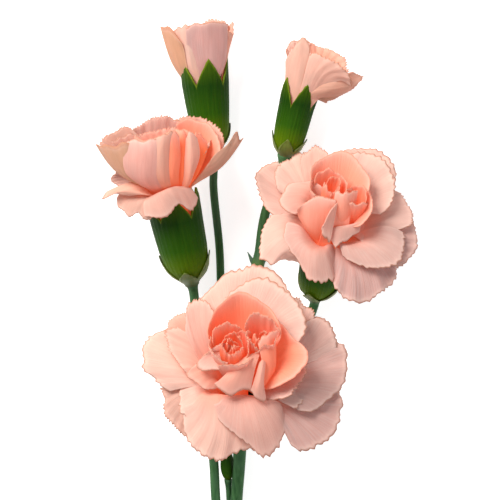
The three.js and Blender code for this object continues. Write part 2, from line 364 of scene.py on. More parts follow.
# ---------------------------------------------------------------- finishes
PETAL_PALE = (0.975, 0.765, 0.680, 1.0)
# A dark mauve pink: partly the petals' own tone, partly painted shade on petals that turn from the
# light.
PETAL_MAUVE_AND_PAINTED_SHADE = (0.600, 0.425, 0.450, 1.0)
PETAL_TAN = (0.700, 0.430, 0.250, 1.0)
PETAL_CORAL = (0.985, 0.270, 0.105, 1.0)
PETAL_LINE = (0.560, 0.215, 0.100, 1.0)
# Painted light: the glow of a petal's coral parts, which brightens its shaded folds.
PETAL_PAINTED_GLOW = (1.000, 0.200, 0.060, 1.0)
PETAL_EDGE = (0.985, 0.790, 0.690, 1.0)
PETAL_BACK = (0.800, 0.530, 0.420, 1.0)
PETAL_VEIN = (0.860, 0.420, 0.320, 1.0)
PETAL_SHINE_THROUGH = (1.0, 0.42, 0.22, 1.0)
PETAL_SHEEN = (1.0, 0.85, 0.78, 1.0)
NO_PAINTED_GLOW = (0.0, 0.0, 0.0, 1.0)

# Bands of colour from the foot of a calyx or bract scale to its tip, at shares of its height.
CALYX_BANDS = [(0.0, (0.120, 0.165, 0.004, 1)), (0.20, (0.085, 0.150, 0.001, 1)),
               (0.42, (0.018, 0.070, 0.001, 1)), (0.72, (0.004, 0.030, 0.001, 1)),
               (1.0, (0.050, 0.095, 0.001, 1))]
SCALE_BANDS = [(0.0, (0.020, 0.055, 0.006, 1)), (0.25, (0.070, 0.110, 0.006, 1)),
               (0.6, (0.130, 0.170, 0.015, 1)), (0.86, (0.110, 0.150, 0.014, 1)),
               (0.97, (0.018, 0.045, 0.006, 1))]
CALYX_STRIPE = (0.045, 0.115, 0.003, 1.0)
CALYX_MARGIN = (0.17, 0.22, 0.012, 1.0)
SCALE_STRIPE = (0.18, 0.21, 0.035, 1.0)

STEM_DARK = (0.026, 0.088, 0.026, 1.0)
STEM_LIGHT = (0.062, 0.158, 0.056, 1.0)
STEM_BLOOM = (0.064, 0.130, 0.082, 1.0)
STEM_JOINT = (0.09, 0.17, 0.05, 1.0)
LEAF_DARK = (0.050, 0.130, 0.075, 1.0)
LEAF_LIGHT = (0.095, 0.200, 0.130, 1.0)
LEAF_BLOOM = (0.17, 0.28, 0.21, 1.0)


def petal_colour(n, vein_mask, back):
    """Peach to coral flesh with its veins, its paler margin and the dark line along it.

    The attributes blush, shade and tan say how coral, how dark mauve pink or how tan the petal is,
    and rim how near its margin is. Blush is deepest at a petal's foot, partly its own coral and
    partly painted shade in its creases; shade is partly the petal's own mauve pink and partly
    painted shade where it turns from the light.
    """
    blush, rim = n.attribute("blush"), n.attribute("rim")
    shade, tan = n.attribute("shade"), n.attribute("tan")
    body = n.mix(blush, PETAL_PALE, PETAL_CORAL)
    # The shade mix: partly the petal's own mauve pink, partly painted shade.
    body = n.mix(n.math("MULTIPLY", shade, 0.9), body, PETAL_MAUVE_AND_PAINTED_SHADE)
    body = n.mix(tan, body, PETAL_TAN)
    if back:
        body = n.mix(0.45, body, PETAL_BACK)
    strength = n.math("ADD", 0.14, n.math("MULTIPLY", shade, 0.22))
    veined = n.mix(n.math("MULTIPLY", vein_mask, strength), body, PETAL_VEIN, "MULTIPLY")
    place = n.stretched(n.add("ShaderNodeUVMap").outputs[0], (3.0, 2.0, 1.0))
    blotches = n.ramp(n.noise(place, 1.4, 2.0), [(0.35, grey(0.90)), (0.7, grey(1.0))])
    veined = n.mix(1.0, veined, blotches, "MULTIPLY")
    paleness = n.math("SUBTRACT", 0.45, n.math("MULTIPLY", blush, 0.3))
    edged = n.mix(n.math("MULTIPLY", rim, paleness), veined, PETAL_EDGE)
    line = n.ramp(rim, [(0.80, grey(0)), (0.97, grey(0.75))])
    broad_line = n.ramp(rim, [(0.45, grey(0)), (0.95, grey(0.9))])
    line = n.math("MAXIMUM", line, n.math("MULTIPLY", broad_line, tan))
    line = n.math("MULTIPLY", line, n.math("SUBTRACT", 1.0, n.math("MULTIPLY", blush, 0.8)))
    return n.mix(line, edged, PETAL_LINE), blush


def petal_material(name, veins, back):
    """Soft petal flesh that light comes through. Its coral parts glow a little: painted light that
    brightens the folds.
    """
    material, n, shader = new_material(name)
    mask = n.group(veins, Across=60.0, Along=2.2)
    colour, blush = petal_colour(n, mask, back)
    n.feed(shader.inputs["Base Color"], colour)
    # Painted light: coral parts glow, so their folds and creases stay bright orange.
    n.feed(shader.inputs["Emission Color"], n.mix(blush, NO_PAINTED_GLOW, PETAL_PAINTED_GLOW))
    n.feed(shader.inputs["Normal"], n.relief(mask, 0.35, 0.0004))
    shader.inputs["Emission Strength"].default_value = 0.28
    shader.inputs["Roughness"].default_value = 0.62
    shader.inputs["Specular IOR Level"].default_value = 0.12
    shader.inputs["Sheen Weight"].default_value = 0.12
    shader.inputs["Sheen Roughness"].default_value = 0.45
    shader.inputs["Sheen Tint"].default_value = PETAL_SHEEN
    through = n.add("ShaderNodeBsdfTranslucent")
    warmth = n.math("ADD", 0.28, n.math("MULTIPLY", blush, 0.4))
    n.feed(through.inputs["Color"], n.mix(warmth, colour, PETAL_SHINE_THROUGH, "MULTIPLY"))
    both = n.add("ShaderNodeMixShader")
    both.inputs[0].default_value = 0.38
    n.feed(both.inputs[1], shader.outputs[0])
    n.feed(both.inputs[2], through.outputs[0])
    n.feed(material.node_tree.nodes["Material Output"].inputs["Surface"], both.outputs[0])
    return material


def calyx_material(veins):
    material, n, shader = new_material("calyx_green")
    body = n.ramp(n.attribute("height"), CALYX_BANDS)
    stripes = n.group(veins, Across=170.0, Along=1.2)
    body = n.mix(n.math("MULTIPLY", stripes, 0.28), body, CALYX_STRIPE)
    body = n.mix(n.math("MULTIPLY", n.attribute("rim"), 0.7), body, CALYX_MARGIN)
    n.feed(shader.inputs["Base Color"], body)
    n.feed(shader.inputs["Normal"], n.relief(stripes, 0.4, 0.0003))
    shader.inputs["Roughness"].default_value = 0.50
    shader.inputs["Specular IOR Level"].default_value = 0.06
    return material


def scale_material(veins):
    material, n, shader = new_material("bract_olive")
    body = n.ramp(n.attribute("height"), SCALE_BANDS)
    stripes = n.group(veins, Across=60.0, Along=1.0)
    body = n.mix(n.math("MULTIPLY", stripes, 0.4), body, SCALE_STRIPE)
    n.feed(shader.inputs["Base Color"], body)
    shader.inputs["Roughness"].default_value = 0.5
    return material


def stem_material(bloom):
    material, n, shader = new_material("stem_green")
    place = n.add("ShaderNodeTexCoord").outputs["Object"]
    lines = n.noise(n.stretched(place, (900.0, 25.0, 900.0)), 1.0, 3.0)
    body = n.mix(n.ramp(lines, [(0.35, grey(0)), (0.7, grey(1))]), STEM_DARK, STEM_LIGHT)
    wax = n.group(bloom, Place=place, Fineness=160.0, Thickest=0.75, Amount=0.5)
    body = n.mix(wax, body, STEM_BLOOM)
    body = n.mix(n.math("MULTIPLY", n.attribute("joint"), 0.7), body, STEM_JOINT)
    n.feed(shader.inputs["Base Color"], body)
    shader.inputs["Roughness"].default_value = 0.52
    shader.inputs["Specular IOR Level"].default_value = 0.12
    return material


def leaf_material(veins, bloom):
    material, n, shader = new_material("leaf_blue_green")
    body = n.mix(n.group(veins, Across=26.0, Along=1.5), LEAF_DARK, LEAF_LIGHT)
    place = n.add("ShaderNodeTexCoord").outputs["Object"]
    wax = n.group(bloom, Place=place, Fineness=120.0, Thickest=0.8, Amount=0.6)
    n.feed(shader.inputs["Base Color"], n.mix(wax, body, LEAF_BLOOM))
    shader.inputs["Roughness"].default_value = 0.55
    return material


# ---------------------------------------------------------------- heads
class Head:
    """A flower's own frame: its foot in the drawing, how far it tilts towards +Y and leans left.

    bend_at: height of the calyx's mouth. claw_radius: how far from the axis the petals' claws
    stand. nod: how fast its petals drift sideways with height.
    """

    def __init__(self, foot, tilt, lean, bend_at, claw_radius, nod=0.0):
        turn = Matrix.Rotation(math.radians(lean), 4, "Z") @ Matrix.Rotation(math.radians(-tilt), 4, "X")
        self.matrix = Matrix.Translation(foot) @ turn
        self.bend_at = bend_at
        self.claw_radius = claw_radius
        self.nod = nod

    def to_frame(self):
        return TO_FRAME @ self.matrix


HEADS = {
    "front": Head((-2.6, -51.5, 14.5), 35, 1, 23.5, 5.2),
    "right": Head((19, -13.2, 4.2), 49, -8, 22.5, 5.0),
    "left": Head((-17.1, -9.2, 8.5), 70, 10, 27.0, 5.2),
    "left_bud": Head((-10.7, 27.2, 4.6), 82, 5, 17.0, 4.3),
    "right_bud": Head((9.4, 25.8, 6.0), 82, -14, 13.5, 3.6, nod=0.022),
    "small_bud": Head((-6.1, -64.2, 5.6), 76, 3, 6.0, 1.0),
}

# ---------------------------------------------------------------- petals
PETAL_ACROSS = 72
PETAL_ALONG = 30
PETAL_THICKNESS = 0.22
CLAW = 7.0  # length of a petal's narrow foot, inside the calyx
CLAW_SHARE = 0.12  # share of the sheet's rows that the claw takes
CLAW_HALF_WIDTH = 1.3
SHAPED_CLAW_HALF_WIDTH = 1.6
FIRST_SLOPE = 12.0  # slope of a petal away from the axis at the calyx's mouth, in degrees
ROUNDED_SIDES = 0.16  # how much shorter a petal is at its sides
CALM_TEETH = 0.35  # height of the teeth on a calm margin
SEED_STEP = 7919


def limb_share(v):
    """0 at the calyx's mouth and 1 at the margin."""
    return np.clip((v - CLAW_SHARE) / (1 - CLAW_SHARE), 0, 1)


def claw_depth(v):
    """Depth below the calyx's mouth, as a negative height."""
    return CLAW * (np.clip(v / CLAW_SHARE, 0, 1) - 1)


def margin_waves(rng):
    """A petal's broad waves, fine pleats, teeth and notches."""
    broad = wave(rng, 3, 1.6, 4.4)
    fine = wave(rng, 3, 12.0, 22.0)
    teeth = wave(rng, 4, 26.0, 70.0)
    notches = wave(rng, 2, 5.0, 10.0)
    return broad, fine, teeth, notches


def toothed(teeth, u, calm):
    bite = CALM_TEETH if calm else 1.0
    return bite * (0.45 * teeth(u) - 0.25 * np.abs(teeth(1.7 * u)))


class Petal:
    """One petal, in its head's frame. Angles are in degrees, lengths in millimetres.

    azimuth, half_width: its place round the axis; 0 is right, 90 far, 270 near.
    length: from the mouth of the calyx to the margin.
    middle, tip: the slope away from the axis half way along and at the margin.
    ruffle, pleat: heights of the broad waves and of the fine pleats at the margin.
    blush: how coral it is. base: how much of the coral its foot has, partly its own colour and
    partly painted shade in the creases there. shade: how far it turns a dark mauve pink, partly its
    own tone and partly painted shade.
    root: distance of its claw from the axis. shift: its offset from the axis. calm: finer teeth.
    """

    def __init__(self, azimuth, half_width, length, middle, tip, ruffle, blush, pleat=0.35,
                 root=None, shift=(0.0, 0.0), base=0.75, shade=0.0, tan=0.0, calm=False):
        self.azimuth = azimuth
        self.half_width = half_width
        self.length = length
        self.middle = middle
        self.tip = tip
        self.ruffle = ruffle
        self.pleat = pleat
        self.blush = blush
        self.base = base
        self.shade = shade
        self.tan = tan
        self.root = root
        self.shift = shift
        self.calm = calm

    def slope(self, along):
        """A curve through the first, middle and last slopes."""
        bend = 4 * self.middle - self.tip - 3 * FIRST_SLOPE
        turn = 2 * (self.tip + FIRST_SLOPE - 2 * self.middle)
        return np.radians(FIRST_SLOPE + bend * along + turn * along * along)

    def rule(self, head, seed):
        rng = random.Random(seed * SEED_STEP)
        broad, fine, teeth, notches = margin_waves(rng)
        sway = wave(rng, 2, 1.5, 3.0)
        root = self.root if self.root is not None else head.claw_radius
        claw_turn = math.degrees(CLAW_HALF_WIDTH / max(root, 1.0))

        def shape(u, v):
            limb = limb_share(v)
            reach = self.length * (1 - ROUNDED_SIDES * np.abs(u) ** 2.6) + 0.6 * notches(u) * limb ** 4
            distance = reach * limb + toothed(teeth, u, self.calm) * smooth(0.82, 1.0, limb)
            along = distance / self.length
            spread = smooth(-0.06, 0.62, along) ** 0.85
            across = np.radians((claw_turn + (self.half_width - claw_turn) * spread) * u)
            angle = np.radians(self.azimuth + 2.0 * sway(3 * along))
            slope = self.slope(along)
            step = np.diff(distance, axis=0, prepend=distance[:1])
            out = root + np.cumsum(step * np.sin(slope), axis=0)
            up = np.cumsum(step * np.cos(slope), axis=0)
            ruffles = self.ruffle * along ** 2.0 * broad(u + 0.25 * along)
            lift = ruffles + self.pleat * along ** 3.2 * fine(u)
            radius = out - lift * np.cos(slope)
            height = head.bend_at + claw_depth(v) + up + lift * np.sin(slope)
            outward, sideways = radius * np.cos(across), radius * np.sin(across)
            fade = smooth(0, 0.3, along)
            nod = head.nod * np.clip(height - head.bend_at, 0, None) ** 2
            x = outward * np.cos(angle) - sideways * np.sin(angle) + self.shift[0] * fade + nod
            y = outward * np.sin(angle) + sideways * np.cos(angle) + self.shift[1] * fade
            return np.stack([x, y, height], axis=-1)

        return shape


def through(knots, points, first, at):
    """A smooth curve through the points, at any place along it; first is its starting direction."""
    count = len(points)
    chords = [(points[i + 1] - points[i]) / (knots[i + 1] - knots[i]) for i in range(count - 1)]
    slopes = [first if first is not None else chords[0]]
    for i in range(1, count - 1):
        before = knots[i] - knots[i - 1]
        after = knots[i + 1] - knots[i]
        slopes.append((chords[i - 1] * after + chords[i] * before) / (before + after))
    slopes.append(1.5 * chords[-1] - 0.5 * slopes[-1])
    span = np.clip(np.searchsorted(knots, at, side="left") - 1, 0, count - 2)
    curve = 0
    for i in range(count - 1):
        gap = knots[i + 1] - knots[i]
        s = ((at - knots[i]) / gap)[..., None]
        piece = points[i] * (1 + 2 * s) * (1 - s) ** 2 + slopes[i] * gap * s * (1 - s) ** 2
        piece = piece + points[i + 1] * s * s * (3 - 2 * s) + slopes[i + 1] * gap * s * s * (s - 1)
        curve = curve + piece * (span == i)[..., None]
    return curve


class ShapedPetal:
    """A petal drawn by lines across it, from just above the calyx out to its margin.

    Each line is a row of (x, y, height) points in its head's frame, the height being above the
    mouth of the calyx, listed anticlockwise as seen from above the flower. The other values are
    as for Petal, and tan is how brown and how lined at its margin it is.
    """

    def __init__(self, *lines, blush, base=0.75, shade=0.0, tan=0.0, ruffle=0.7, pleat=0.25, calm=False):
        self.lines = lines
        self.blush = blush
        self.base = base
        self.shade = shade
        self.tan = tan
        self.ruffle = ruffle
        self.pleat = pleat
        self.calm = calm

    def rows(self, head, u):
        """The drawn lines at each place across the petal, the claw's own line first."""
        rows = []
        for line in self.lines:
            points = np.array(line, float)
            steps = np.linalg.norm(np.diff(points, axis=0), axis=1)
            knots = np.concatenate([[0], np.cumsum(steps)])
            rows.append(through(2 * knots / knots[-1] - 1, points, None, u))
        middle = rows[0].mean(axis=0)
        angle = math.atan2(middle[1], middle[0])
        outward = np.array([math.cos(angle), math.sin(angle), 0.0])
        tangent = np.array([-math.sin(angle), math.cos(angle), 0.0])
        claw = head.claw_radius * outward + SHAPED_CLAW_HALF_WIDTH * u[:, None] * tangent
        return [claw, *rows]

    def rule(self, head, seed):
        broad, fine, teeth, notches = margin_waves(random.Random(seed * SEED_STEP))

        def shape(u, v):
            limb = limb_share(v)
            rows = self.rows(head, u[0])
            gaps = [np.linalg.norm(rows[i + 1] - rows[i], axis=1).mean() for i in range(len(rows) - 1)]
            knots = np.concatenate([[0], np.cumsum(gaps)])
            margin = toothed(teeth, u, self.calm) + 0.4 * notches(u)
            at = knots[-1] * limb + margin * smooth(0.82, 1.0, limb)
            up = np.array([0.0, 0.0, 1.0])
            first = 0.55 * up + 0.45 * (rows[1] - rows[0]) / gaps[0]
            surface = through(knots, [row[None] for row in rows], first[None], at)
            normal = np.cross(np.gradient(surface, axis=1), np.gradient(surface, axis=0))
            normal = normal / np.maximum(np.linalg.norm(normal, axis=2, keepdims=True), 1e-6)
            width = np.linalg.norm(rows[-1][-1] - rows[-1][0]) / 18
            ruffles = self.ruffle * limb ** 2.0 * broad(u + 0.25 * limb)
            lift = ruffles + self.pleat * limb ** 2.6 * fine(u)
            lift = lift * min(1.0, max(0.35, width))
            surface = surface + normal * lift[..., None]
            surface[..., 2] += head.bend_at + claw_depth(v)
            return surface

        return shape


def make_petal(name, head, petal, seed, materials, nodes):
    sheet = new_sheet(name, PETAL_ACROSS, PETAL_ALONG)
    u, v, row, column = shape_sheet(sheet, petal.rule(head, seed), head.to_frame())
    limb = limb_share(v)
    # More coral towards the foot: partly the petal's own colour, partly painted shade in the creases
    # where petals meet.
    coral_and_painted_fold_shade = petal.blush + (1 - petal.blush) * petal.base * (1 - smooth(0.0, 0.70, limb))
    coral_and_painted_fold_shade = coral_and_painted_fold_shade * (1 - 0.35 * smooth(0.75, 1.0, limb))
    side_rim = 0.7 * smooth(0.93, 1.0, np.abs(u)) * smooth(0.3, 0.6, limb)
    rim = np.maximum(smooth(0.90, 1.0, limb), side_rim)
    set_attribute(sheet, "blush", np.clip(coral_and_painted_fold_shade, 0, 1)[row, column])
    set_attribute(sheet, "rim", rim[row, column])
    set_attribute(sheet, "shade", np.full_like(u, petal.shade)[row, column])
    set_attribute(sheet, "tan", np.full_like(u, petal.tan)[row, column])
    for material in materials:
        sheet.data.materials.append(material)
    thicken(sheet, PETAL_THICKNESS, back_slot=1)
    finish_piece(sheet, nodes)


# The petals of each head, whorl by whorl from the outermost to its heart.
PETALS = {
    "front": {
        "outer": [
            ShapedPetal(
                [(9, 13.5, 9), (5.5, 17, 10), (0.5, 18.5, 10), (-4, 17.5, 9.5), (-7, 15, 8.5)],
                [(16, 21, 11), (14, 24, 12), (12, 28, 12.5), (8.5, 31, 13), (4.5, 32.5, 13),
                 (0.5, 31, 13), (-2.5, 30, 12.5), (-6, 27, 12), (-9.5, 24, 11), (-11.5, 21.5, 10)],
                blush=0.0),
            ShapedPetal(
                [(16, 15.5, 2), (14.5, 18, 3), (12, 19.5, 4)],
                [(21, 19.5, 3), (20.5, 22, 5), (18, 24, 6), (15.5, 25.5, 7), (13, 25.5, 8)],
                blush=0.0, shade=0.2),
            ShapedPetal(
                [(18.5, 6.5, 3.5), (18, 10, 4.5), (16, 12.5, 5.5), (13.5, 11.5, 6.5)],
                [(26.5, 11, 1), (26, 16.5, 2), (24.5, 20.5, 3), (21, 21, 4), (18.5, 19, 5),
                 (16.5, 13.5, 6)],
                blush=0.0, shade=0.5),
            ShapedPetal(
                [(9, -2.5, 3), (13.5, -3.5, 2.5), (17.5, -0.5, 2.5), (19.5, 4.5, 2.5),
                 (18, 8.5, 4)],
                [(12, -4.5, 2.5), (16, -6.5, 0.5), (20, -6, -0.5), (24, -3, -0.5),
                 (27.5, 1.5, -0.5), (29.5, 8.5, 0), (28.5, 13, 0.5), (26, 15, 1.5)],
                blush=0.02, shade=0.75, pleat=0.45),
            ShapedPetal(
                [(7, -4.5, 1.5), (9.5, -8.5, 0), (15, -7.5, -2), (19, -4, -2), (21, 0, -2)],
                [(10.5, -4.5, 0), (11.5, -9.5, -3), (13.5, -13, -5), (16, -15, -6),
                 (19.5, -14.5, -6.5), (24, -12, -6), (26.5, -6.5, -5), (27.5, -0.5, -4),
                 (26.5, 3, -3)],
                blush=0.0, shade=0.9, pleat=0.7),
            ShapedPetal(
                [(-12, 3, 0.5), (-12.5, -0.5, 0), (-10.5, -3.5, 0)],
                [(-21, 3, -2), (-20.5, -0.5, -3), (-20.5, -3, -3.5), (-18.5, -6.5, -4),
                 (-16, -10, -5), (-13.5, -11, -5)],
                blush=0.05, shade=0.7, tan=0.35),
            ShapedPetal(
                [(-9, -2, 3.5), (-5.5, -3.5, 4.5), (-2, -4, 4.5)],
                [(-12.5, -5, 3), (-10.5, -8.5, 2), (-7, -11, 1.5), (-2, -10.5, 1), (2, -8, 1)],
                [(-15, -4, 0), (-15, -9, -1.5), (-13.5, -13.5, -3), (-9.5, -18, -4.5),
                 (-6, -18.5, -5), (-2, -16, -5), (1.5, -15, -5), (5, -15.5, -5.5)],
                blush=0.08, ruffle=0.5),
            ShapedPetal(
                [(-3.5, -4.5, 5), (1, -4.5, 5.5), (6, -5, 5)],
                [(-5.5, -6, 4.5), (-2, -8.5, 4), (2, -10.5, 3.5), (7, -9, 3.5), (10, -5, 3)],
                [(-7.5, -6, 3.5), (-5, -10.5, 2), (-1.5, -13.5, 0), (2.5, -15.5, -2),
                 (6.5, -17.5, -4), (9.5, -16, -4), (12, -11.5, -3), (11.5, -6, 0)],
                blush=0.22, shade=0.4, ruffle=0.4),
            ShapedPetal(
                [(-12, 10.5, 5), (-14.5, 10, 4), (-15.5, 6.5, 3.5), (-13.5, 3, 3),
                 (-10.5, 0.5, 2.5)],
                [(-18.5, 17.5, 6), (-21.5, 16.5, 5), (-24, 15.5, 4), (-26, 12, 3), (-25.5, 9, 2),
                 (-26, 7, 1.5), (-23.5, 5, 1), (-21.5, 2.5, 0.5), (-19, 0.5, 0)],
                blush=0.05),
            ShapedPetal(
                [(-10, 10.5, 8), (-12.5, 8.5, 7), (-12.5, 5.5, 6), (-10, 2.5, 5.5)],
                [(-16.5, 15.5, 8.5), (-20, 14.5, 8), (-19, 11, 7), (-17.5, 7.5, 6),
                 (-14.5, 3.5, 5.5), (-13, 1.5, 5)],
                blush=0.2, tan=0.1, ruffle=0.5),
            ShapedPetal(
                [(-8, 11, 7.5), (-11, 12, 6.5), (-12.5, 10.5, 6)],
                [(-13, 19.5, 9.5), (-15.5, 19.5, 9), (-18, 18.5, 8.5), (-19, 16.5, 8),
                 (-20.5, 15, 7.5)],
                blush=0.4, tan=0.15, ruffle=0.6),
            Petal(100, 50, 17.0, 80, 100, ruffle=0.8, blush=0.05),
            Petal(20, 46, 15.0, 92, 112, ruffle=0.8, blush=0.05, shade=0.5),
            Petal(182, 44, 13.0, 98, 120, ruffle=0.6, blush=0.05),
        ],
        "second": [
            ShapedPetal(
                [(11, 9, 9.5), (9.5, 13.5, 11), (6, 16.5, 11.5), (1.5, 18, 11.5),
                 (-1.5, 17.5, 10.5)],
                [(16, 8.5, 10), (18, 12, 11), (18, 15.5, 12), (16, 20, 13), (12.5, 24, 14),
                 (8, 26.5, 14.5), (3.5, 26.5, 14.5), (-0.5, 25, 13.5), (-3.5, 22.5, 12)],
                blush=0.03, shade=0.1),
            ShapedPetal(
                [(-6.5, 10, 9.5), (-9, 11, 9), (-11, 9.5, 8), (-11, 7, 7)],
                [(-6.5, 16.5, 14), (-8.5, 20, 14), (-11, 22, 13), (-13, 21, 12), (-14, 17.5, 11),
                 (-14.5, 14, 9.5)],
                blush=0.22, shade=0.25, ruffle=0.4),
            ShapedPetal(
                [(4.5, -2.5, 3.5), (7.5, -2.5, 4.5), (12, -1, 6), (13.5, 3, 7)],
                [(5.5, -3.5, 4), (8, -6, 5), (11.5, -6, 6), (15, -4, 7), (17.5, 0, 8),
                 (18.5, 3.5, 9)],
                blush=0.12, shade=0.5, ruffle=0.4),
        ],
        "middle": [
            ShapedPetal(
                [(8.5, 6, 9), (6.5, 10.5, 11), (3, 13, 12), (-1.5, 13.5, 12), (-5, 11.5, 11),
                 (-6.5, 7.5, 9.5)],
                [(11, 7, 15), (10.5, 10.5, 17.5), (7.5, 15, 19), (4.5, 17, 20), (0.5, 18.5, 20),
                 (-3, 17, 20), (-6.5, 14, 19), (-8, 11, 17.5), (-8, 7, 16)],
                blush=0.95, calm=True, ruffle=0.5),
            ShapedPetal(
                [(5, -1, 5), (7.5, 0.5, 6.5), (11, 2.5, 8), (12, 6, 9), (10, 9.5, 9.5),
                 (8, 11, 10)],
                [(6, -3, 6), (8.5, -4.5, 8.5), (12, -4, 10.5), (15.5, -2, 11.5), (18, 1.5, 12),
                 (18, 5, 12.5), (15.5, 8, 13), (12.5, 11, 14), (10.5, 13, 15)],
                blush=0.92, calm=True, ruffle=0.4),
            ShapedPetal(
                [(-3.5, 3.5, 10.5), (-7, 1.5, 10), (-7, -0.5, 8.5), (-4.5, -2, 7)],
                [(-8.5, 5, 11.5), (-12, 2.5, 10), (-13.5, 0.5, 8), (-11.5, -2, 7), (-8.5, -3, 6.5),
                 (-5, -2, 6)],
                blush=0.55, calm=True, ruffle=0.4),
            ShapedPetal(
                [(-0.5, 5, 14), (-4.5, 3.5, 13.5), (-5, 1.5, 13)],
                [(-4.5, 5.5, 16), (-8, 3.5, 14.5), (-11, 1.5, 12.5), (-9, -1, 12), (-6, -1, 12.5),
                 (-2.5, 1, 13)],
                blush=0.35, shade=0.35, calm=True, ruffle=0.3),
            ShapedPetal(
                [(-0.5, 1, 13), (2.5, 1.5, 15), (5.5, 2.5, 14)],
                [(-3.5, -2, 12), (0.5, -2, 14), (4.5, -0.5, 13.5)],
                [(-6.5, -3.5, 10), (-4.5, -5.5, 8.5), (-2.5, -6, 8), (0, -5.5, 9), (3, -5, 8.5)],
                blush=0.45, calm=True, ruffle=0.1, pleat=0.0),
            ShapedPetal(
                [(5.5, 0, 14), (6, 0, 14.5), (7, 0, 13.5)],
                [(4, -3.5, 11), (5.5, -4.5, 12), (6.5, -4, 11)],
                [(3, -5, 8.5), (4.5, -6.5, 7), (6.5, -7, 6), (7, -6, 7)],
                blush=0.35, calm=True, ruffle=0.05, pleat=0.0),
            ShapedPetal(
                [(6, -3.5, 8), (7.5, -2, 9), (9.5, 1, 9)],
                [(6, 1.5, 14), (8, 3.5, 15), (10, 6.5, 15)],
                [(5, 5, 17), (7.5, 6.5, 18), (10.5, 8.5, 17)],
                blush=0.7, calm=True, ruffle=0.1, pleat=0.0),
        ],
        "heart": [
            Petal(20, 58, 18.6, 8, 0, ruffle=0.8, pleat=0.3, blush=0.85, root=2.2,
                  shift=(-1.6, 4.0)),
            Petal(110, 58, 20.0, 10, 4, ruffle=0.8, pleat=0.3, blush=0.9, root=2.2,
                  shift=(-1.6, 4.0)),
            Petal(200, 58, 18.4, 12, 6, ruffle=0.8, pleat=0.3, blush=0.5, root=2.4,
                  shift=(-1.6, 4.0)),
            Petal(285, 58, 17.2, 14, 6, ruffle=0.8, pleat=0.3, blush=0.45, root=2.6,
                  shift=(-1.6, 4.0)),
            Petal(60, 70, 19.2, 6, -14, ruffle=0.9, pleat=0.4, blush=1.0, root=1.5,
                  shift=(-1.6, 4.0)),
            Petal(180, 70, 18.4, 6, -14, ruffle=0.9, pleat=0.4, blush=0.95, root=1.5,
                  shift=(-1.6, 4.0)),
            Petal(300, 70, 17.6, 6, -12, ruffle=0.9, pleat=0.4, blush=0.85, root=1.5,
                  shift=(-1.6, 4.0)),
            Petal(120, 80, 18.4, 4, -20, ruffle=0.7, pleat=0.4, blush=1.0, root=0.7,
                  shift=(-1.6, 4.0)),
            Petal(300, 80, 17.8, 4, -20, ruffle=0.7, pleat=0.4, blush=1.0, root=0.7,
                  shift=(-1.6, 4.0)),
            Petal(80, 64, 20.0, 12, 6, ruffle=0.8, pleat=0.3, blush=0.6, root=1.6,
                  shift=(5.8, 6.6)),
            Petal(200, 64, 18.4, 6, 0, ruffle=0.8, pleat=0.3, blush=0.7, root=1.6,
                  shift=(5.8, 6.6)),
            Petal(310, 64, 17.4, 8, 0, ruffle=0.8, pleat=0.3, blush=0.6, root=1.6,
                  shift=(5.8, 6.6)),
            Petal(20, 80, 18.4, 4, -16, ruffle=0.8, pleat=0.4, blush=1.0, root=0.8,
                  shift=(5.8, 6.6)),
            Petal(200, 80, 18.0, 4, -16, ruffle=0.8, pleat=0.4, blush=1.0, root=0.8,
                  shift=(5.8, 6.6)),
        ],
    },
    "right": {
        "outer": [
            ShapedPetal(
                [(8.5, 10.5, 4.5), (9, 15.5, 5.5), (5.5, 18, 6.5), (2, 18.5, 7)],
                [(16.5, 15, 4.5), (17, 20, 6), (16.5, 25, 7), (14, 27.5, 8), (11, 29, 9),
                 (7, 28.5, 9.5), (3, 26.5, 10), (0, 24, 10)],
                blush=0.0),
            ShapedPetal(
                [(10, 0.5, 3), (12.5, 5, 3.5), (12, 8.5, 4), (10, 10.5, 5)],
                [(19.5, 3.5, 3), (22, 6, 3), (22.5, 10.5, 3.5), (21, 14, 4), (19, 15.5, 5),
                 (16, 16.5, 6)],
                blush=0.02, shade=0.35),
            ShapedPetal(
                [(8.5, -4.5, 0.5), (12, -3.5, 1), (14, 1.5, 1.5), (13, 6, 2)],
                [(19.5, -6.5, -2), (22, -5, -1), (24, -0.5, -0.5), (24.5, 4.5, 0), (23, 9, 1),
                 (22, 12, 2)],
                blush=0.0, shade=0.8, pleat=0.45),
            ShapedPetal(
                [(1.5, -4, -0.5), (4, -8.5, -1), (8, -9, -1.5), (11.5, -7, -1), (13, -3, 0)],
                [(2, -4.5, -2), (2.5, -10.5, -4), (3.5, -15, -5), (5.5, -17, -6), (9.5, -17, -7),
                 (13, -16, -7), (16, -13.5, -6), (19, -9.5, -5), (20, -5.5, -3)],
                blush=0.0, shade=1.0, pleat=0.8),
            ShapedPetal(
                [(-7, 1, 4), (-11.5, -0.5, 3.5), (-12, -6, 3), (-9.5, -8.5, 1.5), (-5.5, -8.5, 0)],
                [(-13, 2.5, 4), (-16.5, 1.5, 3), (-18, -2, 1), (-18, -7, -0.5),
                 (-17.5, -11.5, -1.5), (-14.5, -12.5, -2), (-11.5, -9.5, -2.5), (-8.5, -8.5, -3),
                 (-6, -9, -4)],
                blush=0.03, ruffle=0.5),
            ShapedPetal(
                [(-7.5, -3, 4.5), (-6.5, -7.5, 3.5), (-3.5, -10, 2.5), (-1, -9, 2),
                 (0.5, -4.5, 1.5)],
                [(-12, -2, 5), (-12, -6.5, 3), (-10, -9.5, 1), (-6, -12.5, -1.5), (-3.5, -15.5, -3),
                 (-0.5, -15.5, -4), (2.5, -13, -4), (2.5, -8, -2.5), (2, -4.5, 0)],
                blush=0.16, shade=0.4, ruffle=0.4),
            ShapedPetal(
                [(-9.5, 13, 5.5), (-12.5, 13, 4.5), (-13.5, 9.5, 3.5), (-11.5, 6.5, 3),
                 (-8.5, 3.5, 3)],
